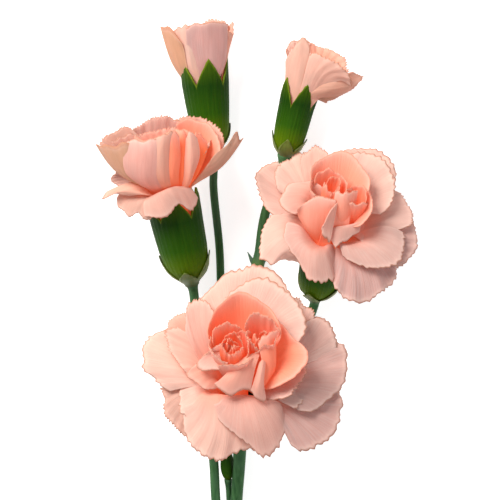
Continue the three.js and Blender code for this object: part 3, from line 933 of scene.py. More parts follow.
                [(-14.5, 22, 6), (-18, 22, 5.5), (-20.5, 20, 5), (-21.5, 18, 4.5), (-21.5, 13, 4),
                 (-20.5, 10, 3.5), (-19, 8, 3), (-18, 5, 2.5), (-16, 3, 2)],
                blush=0.06, shade=0.25),
            ShapedPetal(
                [(-6.5, 12.5, 7.5), (-9, 12.5, 7), (-11, 11, 6.5), (-11.5, 7.5, 5.5)],
                [(-9, 23.5, 9.5), (-11.5, 22, 9), (-13.5, 20.5, 8.5), (-15.5, 20, 8),
                 (-16.5, 17.5, 7), (-16.5, 13.5, 6), (-15, 10, 5)],
                blush=0.06),
            Petal(90, 50, 14.0, 80, 100, ruffle=0.8, blush=0.05),
            Petal(20, 46, 13.0, 96, 116, ruffle=0.6, blush=0.05, shade=0.4),
            Petal(182, 44, 12.0, 98, 118, ruffle=0.6, blush=0.05),
        ],
        "second": [
            ShapedPetal(
                [(9, 5, 5.5), (9.5, 9.5, 7), (8, 13, 8), (5, 14.5, 8.5), (2, 14, 8.5)],
                [(13.5, 5, 6.5), (15.5, 7.5, 7.5), (16.5, 12, 8.5), (16, 17, 10), (13.5, 21.5, 11),
                 (10, 23.5, 11.5), (6, 24, 11.5), (2.5, 22, 11.5)],
                blush=0.02),
            ShapedPetal(
                [(-3, 10.5, 9.5), (-5.5, 11, 9.5), (-7, 10.5, 9), (-8, 9, 8)],
                [(-3, 18.5, 14), (-5, 21, 13.5), (-7, 22, 13), (-8.5, 21, 12.5), (-10, 19.5, 11.5),
                 (-10, 16.5, 10)],
                blush=0.22, shade=0.2, ruffle=0.4),
            ShapedPetal(
                [(3, -5.5, 3), (6.5, -6.5, 3), (10.5, -4.5, 3), (13, -1, 3.5), (13, 2, 4.5)],
                [(4.5, -8.5, 1), (7.5, -10, 0.5), (11.5, -10.5, 0), (15.5, -10, 0), (18.5, -9, 0.5),
                 (20.5, -5, 1), (21, -0.5, 2), (20, 3, 3)],
                blush=0.05, shade=0.5),
            ShapedPetal(
                [(-3.5, 6, 12), (-7.5, 5, 11), (-8.5, 2.5, 9.5), (-6.5, 0.5, 8)],
                [(-7.5, 8, 12), (-12, 7, 11), (-14, 5, 10), (-14.5, 2, 9), (-13, -1, 8),
                 (-10, -1.5, 7.5)],
                blush=0.3, shade=0.2, calm=True, ruffle=0.2, pleat=0.0),
        ],
        "middle": [
            ShapedPetal(
                [(6, 6.5, 8), (4.5, 10, 9.5), (2.5, 11.5, 10), (-1, 10.5, 10), (-3.5, 9, 9.5),
                 (-5, 5.5, 8.5)],
                [(9, 7.5, 12), (9, 11.5, 13.5), (6.5, 14.5, 15), (3.5, 16.5, 16), (0, 17, 16.5),
                 (-3, 15.5, 16.5), (-5.5, 12.5, 16), (-7, 9, 15), (-7, 6, 13.5)],
                blush=0.75, calm=True, ruffle=0.3, pleat=0.0),
            ShapedPetal(
                [(4, -1.5, 5), (6.5, 0.5, 6), (7.5, 3.5, 7.5), (6, 7, 8.5)],
                [(5.5, -3, 7), (8, -4, 9), (10, -2, 11), (10.5, 2, 12), (9, 6.5, 12.5),
                 (6.5, 8.5, 13)],
                blush=0.7, calm=True, ruffle=0.2, pleat=0.0),
            ShapedPetal(
                [(-8.5, -3, 7.5), (-6, -5, 6.5), (-2.5, -4.5, 5.5), (0, -3, 6)],
                [(-9.5, -4, 11.5), (-8, -2, 12.5), (-5.5, -0.5, 13.5), (-2.5, 0, 14),
                 (0.5, 0, 13.5)],
                blush=0.5, calm=True, ruffle=0.1, pleat=0.0),
            ShapedPetal(
                [(0.5, -2.5, 7.5), (3.5, -1.5, 8), (6, 2, 8.5)],
                [(0, 1.5, 15), (2.5, 1, 15.5), (6, 3.5, 15)],
                blush=0.55, calm=True, ruffle=0.1, pleat=0.0),
            ShapedPetal(
                [(0, -4, 5.5), (2, -3, 6), (5, -2, 6)],
                [(-1, -5, 9.5), (1, -0.5, 11), (4.5, 2, 11)],
                blush=0.5, calm=True, ruffle=0.1, pleat=0.0),
            ShapedPetal(
                [(-0.5, -4.5, 6.5), (4, -3.5, 7.5), (8, -2, 8.5)],
                [(0.5, -6, 4), (2, -7.5, 3.5), (5, -5.5, 4.5), (8, -3, 6)],
                blush=0.25, shade=0.35, calm=True, ruffle=0.1, pleat=0.0),
            ShapedPetal(
                [(-2, -7, 9.5), (-1, -4.5, 12), (1, -0.5, 12.5)],
                [(-2.5, -7, 8.5), (-1.5, -8, 6.5), (0.5, -7.5, 5)],
                blush=0.25, calm=True, ruffle=0.05, pleat=0.0),
        ],
        "heart": [
            Petal(30, 58, 15.0, 12, 2, ruffle=0.5, pleat=0.1, blush=0.85, root=1.8,
                  shift=(-1.2, 5.2), calm=True),
            Petal(110, 58, 16.0, 12, 6, ruffle=0.5, pleat=0.1, blush=0.85, root=1.8,
                  shift=(-1.2, 5.2), calm=True),
            Petal(190, 62, 14.6, 18, 10, ruffle=0.4, pleat=0.1, blush=0.35, root=2.0,
                  shift=(-1.2, 5.2), calm=True),
            Petal(262, 60, 13.6, 16, 6, ruffle=0.4, pleat=0.1, blush=0.4, root=2.2,
                  shift=(-1.2, 5.2), calm=True),
            Petal(320, 50, 13.4, 12, 4, ruffle=0.4, pleat=0.1, blush=0.45, root=2.2,
                  shift=(-1.2, 5.2), calm=True),
            Petal(60, 75, 15.4, 6, -10, ruffle=0.6, pleat=0.2, blush=1.0, root=1.1,
                  shift=(-1.2, 5.2)),
            Petal(210, 75, 14.6, 6, -10, ruffle=0.6, pleat=0.2, blush=0.8, root=1.1,
                  shift=(-1.2, 5.2)),
            Petal(330, 75, 14.2, 6, -10, ruffle=0.6, pleat=0.2, blush=0.85, root=1.1,
                  shift=(-1.2, 5.2)),
            Petal(60, 80, 14.6, 8, 2, ruffle=0.4, pleat=0.1, blush=1.0, root=1.2, shift=(5.8, 3.2),
                  calm=True),
            Petal(180, 80, 14.2, 8, 0, ruffle=0.4, pleat=0.1, blush=0.85, root=1.2,
                  shift=(5.8, 3.2), calm=True),
            Petal(290, 80, 13.0, 10, 2, ruffle=0.4, pleat=0.1, blush=0.6, root=1.2,
                  shift=(5.8, 3.2), calm=True),
        ],
    },
    "left": {
        "outer": [
            ShapedPetal(
                [(-7, -7, 1.5), (-3, -9, 3.5), (1, -9, 4.5), (4.5, -7, 3)],
                [(-8, -9, -3), (-4.5, -10, -3), (-1, -10, -2.5), (2, -9.5, -1), (4.5, -8, -3),
                 (7, -6, -1)],
                blush=0.16, calm=True, ruffle=0.3),
            ShapedPetal(
                [(-12.5, -2, 3), (-10, -4, 2.5), (-7, -6.5, 2), (-3.5, -8, 2.5)],
                [(-15, -2, 1.5), (-14.5, -4, -1), (-12, -6, -2.5), (-10, -7, -2), (-8.5, -8, -3.5),
                 (-6.5, -9, -3.5)],
                blush=0.12, shade=0.3, tan=0.25, calm=True, ruffle=0.3),
            ShapedPetal(
                [(-6, -3, 5.5), (-8.5, -5, 5.5), (-8.5, -6.5, 4.5), (-6.5, -7.5, 3)],
                [(-13, -1, 4.5), (-17, -2, 4), (-19, -3, 2.5), (-15.5, -4.5, 4), (-11.5, -5.5, 3)],
                blush=0.25, tan=0.3, ruffle=0.2, calm=True),
            ShapedPetal(
                [(-6, 4, 4.5), (-8, 5, 3.5), (-7.5, 4, 2)],
                [(-13.5, 5, 7), (-15.5, 6, 5.5), (-15.5, 6, 3.5), (-13.5, 5, 2.5)],
                blush=0.0, shade=1.0, tan=0.2),
            ShapedPetal(
                [(7, -4, 2.5), (8.5, -5, 5), (10.5, -5, 7)],
                [(14.5, -3, 5.5), (14.5, -4.5, 8), (14, -5, 10.5)],
                [(22, -2, 12.5), (21, -3, 12.5), (20.5, -3.5, 15), (18, -4, 11.5)],
                blush=0.1, tan=0.75, ruffle=0.1, pleat=0.1, calm=True),
            ShapedPetal(
                [(10.5, 2, 4.5), (9.5, 6, 7), (7, 8, 8.5), (3.5, 8, 9)],
                [(16, 0, 9.5), (16.5, 3, 12.5), (15, 6, 15), (13, 8, 16.5), (10, 9, 17.5),
                 (7, 9, 18), (4, 9, 17)],
                blush=0.05, tan=0.15),
            ShapedPetal(
                [(3.5, 7, 9), (0.5, 7.5, 10.5), (-3.5, 7, 10.5), (-6.5, 6, 10)],
                [(7, 7, 17.5), (4, 8, 18), (2, 8, 19.5), (-0.5, 8, 20), (-2.5, 8, 19),
                 (-5.5, 7, 18.5), (-7.5, 6, 17.5)],
                blush=0.1, shade=0.6),
            ShapedPetal(
                [(-4.5, 5, 9.5), (-7.5, 4.5, 10), (-10.5, 3, 9), (-11.5, 1, 8)],
                [(-6.5, 6, 16.5), (-8, 6, 18.5), (-10, 5, 19), (-12.5, 4, 19), (-14, 3, 18.5),
                 (-15.5, 2, 18), (-17, 1, 17)],
                blush=0.0, tan=0.12),
            Petal(90, 56, 16.0, 36, 46, ruffle=0.7, blush=0.1),
            Petal(20, 44, 15.0, 34, 40, ruffle=0.7, blush=0.1),
            Petal(160, 44, 16.0, 36, 46, ruffle=0.7, blush=0.1),
        ],
        "second": [
            ShapedPetal(
                [(-14.5, -2, 10.5), (-13, -6, 10.5), (-10.5, -8, 10), (-7, -9, 10)],
                [(-17.5, -2, 18), (-15.5, -6, 18.5), (-12.5, -8, 18.5), (-10, -9, 19.5),
                 (-8, -9, 18.5)],
                blush=0.15, tan=0.8, calm=True, ruffle=0.5, pleat=0.3),
            ShapedPetal(
                [(10.5, -2, 5.5), (10, 1, 7.5), (8, 4, 9), (4.5, 5, 9.5)],
                [(15.5, -3, 10.5), (15.5, -1, 12.5), (14, 2, 15.5), (11.5, 4, 17.5), (8, 5, 18.5),
                 (4.5, 5, 17.5)],
                blush=0.85, calm=True, ruffle=0.3),
            ShapedPetal(
                [(2, 5, 9), (-1, 5, 10.5), (-4.5, 4, 10)],
                [(4.5, 6, 16.5), (1, 6, 16.5), (-2, 5.5, 16.5), (-5, 5, 16.5), (-7.5, 4, 16)],
                blush=0.4, ruffle=0.3),
            ShapedPetal(
                [(-4.5, 2, 9), (-7, 1, 10), (-9.5, -1, 9)],
                [(-5.5, 3, 16.5), (-8, 2, 18), (-11, 0, 18), (-13.5, -2, 18)],
                blush=0.12, ruffle=0.3),
        ],
        "middle": [
            ShapedPetal(
                [(-11, -8.5, 11), (-8.5, -10, 9.5), (-5.5, -11, 9), (-2, -10.5, 8)],
                [(-10, -8.5, 17), (-7, -10.5, 17.5), (-4, -11.5, 17), (0, -10.5, 16)],
                [(-9, -8, 19), (-7, -9.5, 20), (-4.5, -10.5, 19), (-2, -10.5, 19.5),
                 (0, -9.5, 19.5)],
                blush=0.3, shade=0.3, calm=True, ruffle=0.15, pleat=0.1),
            ShapedPetal(
                [(-3.5, -10.5, 8.5), (-1.5, -11, 8), (0.5, -10, 7.5)],
                [(-3, -11, 14), (-0.5, -11.5, 14.5), (1.5, -10, 13.5)],
                [(-1.5, -10, 19.5), (1, -10.5, 20), (3.5, -9, 20)],
                blush=0.3, tan=0.25, calm=True, ruffle=0.1, pleat=0.0),
            ShapedPetal(
                [(-1, -9.5, 7.5), (1, -10, 7.5), (3, -9, 7.5)],
                [(0, -9, 15.5), (2.5, -10, 15.5), (4.5, -8.5, 13.5)],
                [(0.5, -8.5, 18.5), (3, -9, 20), (5, -8, 18.5)],
                blush=0.75, calm=True, ruffle=0.2, pleat=0.1),
            ShapedPetal(
                [(3.5, -7.5, 4.5), (5, -8.5, 4.5), (6.5, -7, 5.5)],
                [(5, -7.5, 11), (7, -9, 12), (9.5, -7, 11.5)],
                [(6.5, -6, 16), (8, -7, 18.5), (9.5, -5.5, 16)],
                blush=0.3, tan=0.2, calm=True, ruffle=0.1, pleat=0.0),
            ShapedPetal(
                [(2, -7.5, 6.5), (3.5, -8, 6), (5, -7, 5.5)],
                [(3, -7, 14), (5, -7.5, 14), (6.5, -6.5, 12.5)],
                [(4, -5, 19), (6, -5.5, 19), (7, -5.5, 15.5)],
                blush=0.95, calm=True, ruffle=0.2, pleat=0.0),
            ShapedPetal(
                [(6.5, -6, 5.5), (8.5, -6, 7), (10.5, -4, 9)],
                [(9.5, -4, 17), (11, -2.5, 15.5), (12, -2, 12)],
                blush=1.0, calm=True, ruffle=0.2, pleat=0.0),
            ShapedPetal(
                [(-7, -5, 12.5), (-4, -6, 12.5), (-0.5, -6, 12.5)],
                [(-7, -4, 19), (-4, -5, 17.5), (-0.5, -5, 18), (3, -4, 19)],
                blush=0.8, calm=True, ruffle=0.2, pleat=0.0),
        ],
        "heart": [
            Petal(40, 56, 16.5, 24, 10, ruffle=0.8, pleat=0.3, blush=1.0, root=2.6),
            Petal(130, 56, 16.5, 24, 10, ruffle=0.8, pleat=0.3, blush=1.0, root=2.6),
            Petal(220, 56, 14.5, 20, 4, ruffle=0.8, pleat=0.3, blush=0.9, root=2.6),
            Petal(310, 56, 14.5, 20, 4, ruffle=0.8, pleat=0.3, blush=1.0, root=2.6),
            Petal(90, 76, 15.0, 12, -10, ruffle=0.9, pleat=0.4, blush=1.0, root=1.4),
            Petal(210, 76, 14.0, 12, -10, ruffle=0.9, pleat=0.4, blush=1.0, root=1.4),
            Petal(330, 76, 14.0, 12, -10, ruffle=0.9, pleat=0.4, blush=1.0, root=1.4),
            Petal(270, 60, 15.5, 18, 12, ruffle=0.4, pleat=0.2, blush=0.95, root=2.8),
            Petal(335, 44, 16.5, 24, 12, ruffle=0.4, pleat=0.2, blush=0.95, root=3.0),
        ],
    },
    "left_bud": {
        "bud": [
            ShapedPetal(
                [(-3.5, -4.5, 8.5), (0, -5.5, 9), (3.5, -5.5, 9), (6, -4, 8)],
                [(-4, -7, 18.5), (-1, -8.5, 19.5), (2, -9, 19.5), (5, -8, 19.5), (7.5, -6, 18.5)],
                base=0.15, blush=0.14, shade=0.6, calm=True, ruffle=0.2, pleat=0.1),
            ShapedPetal(
                [(-9, 0, 9.5), (-7, -3, 8.5), (-4.5, -4.5, 7.5)],
                [(-10.5, 0, 16), (-8, -3.5, 14.5), (-5, -5.5, 13)],
                [(-11, -0.5, 19), (-9.5, -3, 19), (-8.5, -4, 19), (-7, -5, 17), (-5.5, -6, 14.5)],
                base=0.15, blush=0.2, shade=0.1, tan=0.85, calm=True, ruffle=0.1, pleat=0.0),
            ShapedPetal(
                [(-5.5, -3.5, 9), (-4, -5, 9.5), (-1.5, -5, 9.5)],
                [(-7, -4, 18), (-5, -5.5, 19), (-2.5, -6.5, 19), (-1, -7, 19)],
                base=0.15, blush=0.05, tan=0.2, calm=True, ruffle=0.2, pleat=0.1),
            ShapedPetal(
                [(5.5, -4, 7.5), (6.5, -1, 8.5), (6.5, 2, 8.5)],
                [(7, -5, 17.5), (8.5, -3, 15.5), (9, 0, 16.5), (9, 3, 18), (7.5, 5, 18)],
                base=0.15, blush=0.3, shade=0.2, tan=0.35, ruffle=0.4),
            ShapedPetal(
                [(5, 5, 9), (1.5, 7, 10), (-2.5, 6, 9.5)],
                [(8, 3, 17.5), (6, 5, 19), (3.5, 6.5, 19.5), (0, 7, 18.5), (-3.5, 6, 18)],
                base=0.15, blush=0.2, ruffle=0.4),
            ShapedPetal(
                [(-1, 5, 9.5), (-3.5, 4, 9.5), (-6, 2, 8.5)],
                [(-2.5, 5, 18.5), (-5, 4, 18), (-7.5, 2, 17.5), (-8.5, 1, 16)],
                base=0.15, blush=0.2, ruffle=0.4),
            Petal(90, 60, 15.0, 14, 6, ruffle=0.5, blush=0.2),
            Petal(280, 60, 15.0, 10, -8, ruffle=0.7, pleat=0.3, blush=0.4, root=2.6),
            Petal(40, 60, 15.0, 10, -8, ruffle=0.7, pleat=0.3, blush=0.5, root=2.6),
            Petal(160, 60, 15.0, 10, -8, ruffle=0.7, pleat=0.3, blush=0.5, root=2.6),
            Petal(210, 60, 16.0, 16, 2, ruffle=0.4, pleat=0.2, blush=0.4, root=2.8),
        ],
    },
    "right_bud": {
        "bud": [
            ShapedPetal(
                [(-5, -2, 8.5), (-3.5, -4, 10), (-1, -4.5, 10), (1.5, -4, 8.5)],
                [(-5, -3, 15.5), (-4, -5, 18.5), (-3, -6.5, 20.5), (-1, -6.5, 19), (0, -6, 16.5)],
                base=0.15, blush=0.1, tan=0.3, calm=True, ruffle=0.1),
            ShapedPetal(
                [(0, -4, 5), (2, -5, 7), (4.5, -5, 8), (7, -4.5, 7.5)],
                [(0, -5.5, 11.5), (2.5, -7, 13), (6, -7.5, 13), (10, -6.5, 11.5)],
                [(0, -6, 16), (1.5, -7.5, 17), (4.5, -8.5, 17), (8, -9, 16), (11.5, -8.5, 14),
                 (13.5, -6, 10.5)],
                base=0.15, blush=0.12, shade=0.1, tan=0.25, ruffle=0.2),
            ShapedPetal(
                [(1.5, -3.5, 3.5), (3, -4.5, 6), (5, -5, 9)],
                [(6, -4, 5.5), (8.5, -6, 9), (9.5, -6, 12.5)],
                [(10.5, -3, 7), (13, -4, 9), (15, -4.5, 11.5), (15.5, -4, 13.5), (12.5, -6, 14.5)],
                base=0.15, blush=0.25, shade=0.2, tan=0.5, ruffle=0.1, pleat=0.1),
            ShapedPetal(
                [(3, -1, 4), (5, -3, 6), (6.5, -3, 8)],
                [(7.5, 0, 4), (10.5, -2, 6.5), (13, -3, 10), (13.5, -3, 12)],
                base=0.15, blush=0.1, shade=0.3, tan=0.75, ruffle=0.1, pleat=0.1),
            ShapedPetal(
                [(7, 2, 11), (4, 4, 13.5), (1, 4, 14)],
                [(12, 1, 14), (10, 3, 16.5), (7.5, 4, 18), (4, 5, 18.5), (1, 5, 18.5),
                 (-1.5, 4, 19.5)],
                base=0.15, blush=0.5, tan=0.3, ruffle=0.4),
            ShapedPetal(
                [(-4, 1, 10), (-3.5, 3, 12.5), (-1, 4, 14.5)],
                [(-6, 0, 14), (-6.5, 2, 16.5), (-5, 3, 18.5), (-3, 4, 19.5), (-0.5, 4, 19)],
                base=0.15, blush=0.15, ruffle=0.3),
            ShapedPetal(
                [(-5, 0, 8.5), (-5, -2, 10), (-4, -3, 10)],
                [(-6, 0, 12.5), (-5.5, -2, 15), (-4.5, -3, 17.5)],
                base=0.15, blush=0.3, ruffle=0.2, calm=True),
            Petal(90, 60, 13.5, 14, 6, ruffle=0.5, blush=0.2),
            Petal(250, 60, 13.5, 10, -8, ruffle=0.7, pleat=0.3, blush=0.5, root=2.0),
            Petal(20, 60, 14.0, 16, -2, ruffle=0.7, pleat=0.3, blush=0.5, root=2.0),
            Petal(140, 60, 13.5, 10, -8, ruffle=0.7, pleat=0.3, blush=0.5, root=2.0),
        ],
    },
}


def cad_petals(head_name, whorl):
    start = f"{head_name}_{whorl}_petal_"
    return sorted(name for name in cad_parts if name.startswith(start))


def make_petals(materials):
    """Each petal stands for one CAD petal of its whorl, and the last one for all that are left."""
    for head_place, (head_name, whorls) in enumerate(PETALS.items()):
        for whorl_place, (whorl, petals) in enumerate(whorls.items()):
            solids = cad_petals(head_name, whorl)
            for order, petal in enumerate(petals):
                last = order == len(petals) - 1
                stands_for = solids[order:] if last else solids[order:order + 1]
                name = f"{head_name}_{whorl}_petal_leaf_{order + 1}"
                seed = 100 * head_place + 10 * whorl_place + order
                make_petal(name, HEADS[head_name], petal, seed, materials, stands_for)


# ---------------------------------------------------------------- calyces and bract scales
CALYX_ROUND = 120
CALYX_UP = 44
CALYX_TEETH = 5
CALYX_WALL = 0.5
CALYX_RIBS = 30
RIB_HEIGHT = 0.06
# A calyx's outline: shares of the height of its notches, and its radius there as a share of its belly's.
CUP_HEIGHTS = [0.0, 0.04, 0.09, 0.15, 0.23, 0.34, 0.50, 0.72, 1.0]
CUP_SWELL = [0.24, 0.34, 0.52, 0.70, 0.84, 0.93, 1.0]

SCALE_ACROSS = 24
SCALE_ALONG = 16
SCALE_THICKNESS = 0.25
SCALE_SINK = 0.4  # how far below the calyx's foot a scale starts
SCALE_STANDOFF = 0.30
LOWER_SCALE_STANDOFF = 0.32  # how much further out the lower pair of scales stands
SCALE_TIP_LIFT = 0.35


class Calyx:
    """A calyx's sizes: height, height of its teeth, radii of its belly and mouth, flare of its teeth.

    turn: turn of its teeth round the axis, in degrees. foot: how far its foot lies off the axis.
    """

    def __init__(self, length, tooth, belly, mouth, flare, turn=0.0, foot=0.0):
        self.length = length
        self.tooth = tooth
        self.notch = length - tooth
        self.belly = belly
        self.mouth = mouth
        self.flare = flare
        self.turn = turn
        self.foot = foot

    def sideways(self, share):
        """How far the cup leans off its axis; most at its foot, none at its mouth."""
        return self.foot * (1 - np.clip(share, 0, 1)) ** 1.5

    def radius(self, share):
        """Outer radius at a share of the height of the notches."""
        radii = [swell * self.belly for swell in CUP_SWELL]
        radii += [(self.belly + self.mouth) / 2, self.mouth]
        return np.interp(share, CUP_HEIGHTS, radii)

    def ring(self, angle, radius, share, height):
        """Points round the cup, in its head's frame."""
        x = radius * np.cos(angle) + self.sideways(share)
        return np.stack([x, radius * np.sin(angle), height], axis=-1)


CALYCES = {
    "front": Calyx(24.5, 5, 6.8, 7.2, 0.5),
    "right": Calyx(23.5, 4.5, 6.2, 6.9, 0.5, 0, -0.8),
    "left": Calyx(28, 7, 6.7, 7.3, 0.1, 18, 1.0),
    "left_bud": Calyx(26.5, 7.5, 5.6, 6.5, 0.3, 31, 0.4),
    "right_bud": Calyx(22, 7.5, 4.5, 4.9, 0.8, 36, 0.2),
}

# Each scale: its azimuth, the height of its tip and its half width in degrees. The last two of a
# calyx are its lower pair, which lies outside the first two.
SCALES = {
    "front": [(20, 8.5, 52), (200, 8.5, 52), (110, 5.5, 48), (290, 5.5, 48)],
    "right": [(330, 8.5, 56), (150, 8.5, 56), (60, 5.5, 48), (250, 6.5, 48)],
    "left": [(350, 9.5, 62), (170, 9.5, 62), (80, 5.0, 46), (262, 6.0, 46)],
    "left_bud": [(20, 8.0, 56), (200, 8.0, 56), (110, 5.0, 46), (290, 5.0, 46)],
    "right_bud": [(350, 7.0, 60), (175, 7.0, 60), (80, 5.0, 44), (268, 6.0, 44)],
}


def tooth_rise(turn):
    """0 in a notch and 1 at a tooth's tip, with slightly bowed sides; turn is a share of a full turn."""
    saw = 1 - np.abs(2 * (turn * CALYX_TEETH - np.floor(turn * CALYX_TEETH)) - 1)
    return saw ** 0.85


def make_calyx(head_name, material):
    head, calyx = HEADS[head_name], CALYCES[head_name]
    sheet = new_sheet(f"{head_name}_calyx_cup", CALYX_ROUND, CALYX_UP)

    def height_at(u, v):
        return v * (calyx.notch + calyx.tooth * tooth_rise((u + 1) / 2))

    def rule(u, v):
        height = height_at(u, v)
        share = np.clip(height / calyx.notch, 0, 1)
        above = np.clip((height - calyx.notch) / calyx.tooth, 0, 1)
        ribs = RIB_HEIGHT * np.sin(math.pi * (u + 1) * CALYX_RIBS)
        radius = calyx.radius(share) + calyx.flare * above + ribs
        angle = math.pi * (u + 1) + math.radians(calyx.turn)
        return calyx.ring(angle, radius, share, height)

    u, v, row, column = shape_sheet(sheet, rule, head.to_frame())
    set_attribute(sheet, "height", (height_at(u, v) / calyx.length)[row, column])
    set_attribute(sheet, "rim", smooth(0.955, 1.0, v)[row, column])
    sheet.data.materials.append(material)
    close_seam()
    thicken(sheet, CALYX_WALL, middle=False)
    finish_piece(sheet, [f"{head_name}_calyx"])


def make_scale(head_name, order, azimuth, tip, half_width, material):
    head, calyx = HEADS[head_name], CALYCES[head_name]
    lower = order >= 2
    sheet = new_sheet(f"{head_name}_bract_scale_{order + 1}", SCALE_ACROSS, SCALE_ALONG)
    standoff = SCALE_STANDOFF + (LOWER_SCALE_STANDOFF if lower else 0.0)

    def rule(u, v):
        height = tip * v * (1 - 0.55 * np.abs(u) ** 1.4) - SCALE_SINK
        share = np.clip(height / calyx.notch, 0, 1)
        tip_lift = SCALE_TIP_LIFT * smooth(0.8, 1.0, v) * (1 - np.abs(u))
        width = half_width * (1 - 0.25 * v) * (1 - 0.36 * smooth(0.86, 1.0, v))
        angle = np.radians(azimuth + width * u)
        return calyx.ring(angle, calyx.radius(share) + standoff + tip_lift, share, height)

    u, v, row, column = shape_sheet(sheet, rule, head.to_frame())
    band = 0.35 * v if lower else v
    set_attribute(sheet, "height", band[row, column])
    sheet.data.materials.append(material)
    thicken(sheet, SCALE_THICKNESS)
    finish_piece(sheet)


BUD_ROUND = 40
BUD_UP = 26
BUD_LENGTH = 11.0
BUD_RADIUS = 1.95


def make_small_bud(material):
    """The closed bud: an egg with five faint ridges."""
    sheet = new_sheet("small_bud_egg", BUD_ROUND, BUD_UP)

    def rule(u, v):
        turn = math.pi * u
        egg = np.sin(math.pi * np.clip(v, 0, 1) ** 0.75) ** 0.8
        radius = BUD_RADIUS * egg * (1 + 0.03 * np.cos(5 * turn))
        return np.stack([radius * np.cos(turn), radius * np.sin(turn), BUD_LENGTH * v], axis=-1)

    u, v, row, column = shape_sheet(sheet, rule, HEADS["small_bud"].to_frame())
    set_attribute(sheet, "height", (0.25 + 0.75 * v)[row, column])
    set_attribute(sheet, "rim", np.zeros_like(v)[row, column])
    sheet.data.materials.append(material)
    close_seam()
    finish_piece(sheet, ["small_bud"])


# ---------------------------------------------------------------- stems
STEM_ROUND = 20
STEM_STEP = 0.8
MAIN_RADIUS = 1.7
FRONT_RADIUS = 1.65
SIDE_RADIUS = 1.3
LEFT_BUD_RADIUS = 1.12
SMALL_RADIUS = 0.75
JOINT_SWELL = 0.55
JOINT_REACH = 2.2
END_REACH = 1.6  # how far along a stalk the change of radius at its end fades
STALK_BELOW_FOOT = -3.3
STALK_INTO_FOOT = 0.6

CUT_END = (-8.6, -127, 1.75)
LEAF_JOINT = (-6.2, -86, 2.6)
UPPER_JOINT = (-4.2, -74, 2.6)
TOP_JOINT = (-2.5, -47.6, 2.7)
BRACT_JOINT = (2.2, -3.9, 3.2)

# Each stalk: the head that it carries, its way from the main stem, and its radius.
STALKS = {
    "left_flower_stalk": (
        "left", [(-8.4, -86, 2.7), (-9.6, -68, 5.2), (-10.2, -57.5, 6.5), (-13.6, -36, 9)], SIDE_RADIUS),
    "front_flower_stalk": (
        "front", [(-4.2, -73, 4.2), (-3.3, -64, 7.4)], FRONT_RADIUS),
    "left_bud_stalk": (
        "left_bud", [(-3.6, -47.6, 2.7), (-7.6, -24, 2.4), (-8.5, 0, 2.4), (-10.2, 18, 3.4)],
        LEFT_BUD_RADIUS),
    "right_flower_stalk": (
        "right", [(-1.6, -47.2, 2.7), (7.5, -35.5, 2.5), (15, -22.5, 2)], SIDE_RADIUS),
    "right_bud_stalk": (
        "right_bud", [(-2.4, -47.2, 2.7), (-0.4, -25, 2.6), BRACT_JOINT, (4.2, 10, 3.6)], SIDE_RADIUS),
}
SMALL_STALK_START = (-5.6, -74, 2.6)


def curve_through(points, step):
    """Points along a smooth curve that passes through the given ones, spaced by their distances."""
    points = [Vector(point) for point in points]
    before = points[0] * 2 - points[1]
    after = points[-1] * 2 - points[-2]
    padded = [before, *points, after]
    path = []
    for i in range(1, len(padded) - 2):
        p0, p1, p2, p3 = padded[i - 1:i + 3]
        d0 = max((p1 - p0).length ** 0.5, 1e-4)
        d1 = max((p2 - p1).length ** 0.5, 1e-4)
        d2 = max((p3 - p2).length ** 0.5, 1e-4)
        t1 = ((p1 - p0) / d0 - (p2 - p0) / (d0 + d1) + (p2 - p1) / d1) * d1
        t2 = ((p2 - p1) / d1 - (p3 - p1) / (d1 + d2) + (p3 - p2) / d2) * d1
        cubic = 2 * p1 - 2 * p2 + t1 + t2
        square = -3 * p1 + 3 * p2 - 2 * t1 - t2
        count = max(2, round((p2 - p1).length / step))
        for k in range(count):
            s = k / count
            path.append(cubic * s ** 3 + square * s ** 2 + t1 * s + p1)
    path.append(points[-1])
    return np.array(path)


def sides_of(curve):
    """At each point of a curve: a level direction across it, and the one that stands on both."""
    tangents = np.gradient(curve, axis=0)
    tangents /= np.linalg.norm(tangents, axis=1, keepdims=True)
    side = np.cross(tangents, (0.0, 0.0, 1.0))
    side /= np.linalg.norm(side, axis=1, keepdims=True)
    return side, np.cross(side, tangents)


def ring_numbers(v, rings):
    return np.clip(np.rint(v * (rings - 1)).astype(int), 0, rings - 1)


def bell(distance, reach):
    return np.exp(-((distance / reach) ** 2))


def make_stem(name, points, radius, material, node, joints=(), ends=(0.0, 0.0)):
    """A round stem along a path, swollen at its joints; ends adds to the radius at its two ends."""
    curve = curve_through(points, STEM_STEP)
    side, top = sides_of(curve)
    steps = np.linalg.norm(np.diff(curve, axis=0), axis=1)
    along = np.concatenate([[0], np.cumsum(steps)])
    radii = np.full(len(curve), float(radius))
    near_joint = np.zeros(len(curve))
    for joint in joints:
        away = np.linalg.norm(curve - np.array(joint), axis=1)
        radii += JOINT_SWELL * bell(away, JOINT_REACH)
        near_joint = np.maximum(near_joint, bell(away, 0.55 * JOINT_REACH))
    radii += ends[0] * bell(along, END_REACH) + ends[1] * bell(along[-1] - along, END_REACH)

    def rule(u, v):
        ring = ring_numbers(v, len(curve))
        angle = (math.pi * u)[..., None]
        around = np.cos(angle) * side[ring] + np.sin(angle) * top[ring]
        return curve[ring] + radii[ring][..., None] * around

    sheet = new_sheet(name, STEM_ROUND, len(curve) - 1)
    u, v, row, column = shape_sheet(sheet, rule, TO_FRAME)
    set_attribute(sheet, "joint", near_joint[ring_numbers(v, len(curve))][row, column])
    sheet.data.materials.append(material)
    close_seam(cap_ends=True)
    finish_piece(sheet, [node])


def on_axis(head_name, height):
    """A point on a head's axis, at its calyx's foot if it has one."""
    foot = CALYCES[head_name].foot if head_name in CALYCES else 0.0
    return tuple(HEADS[head_name].matrix @ Vector((foot, 0, height)))


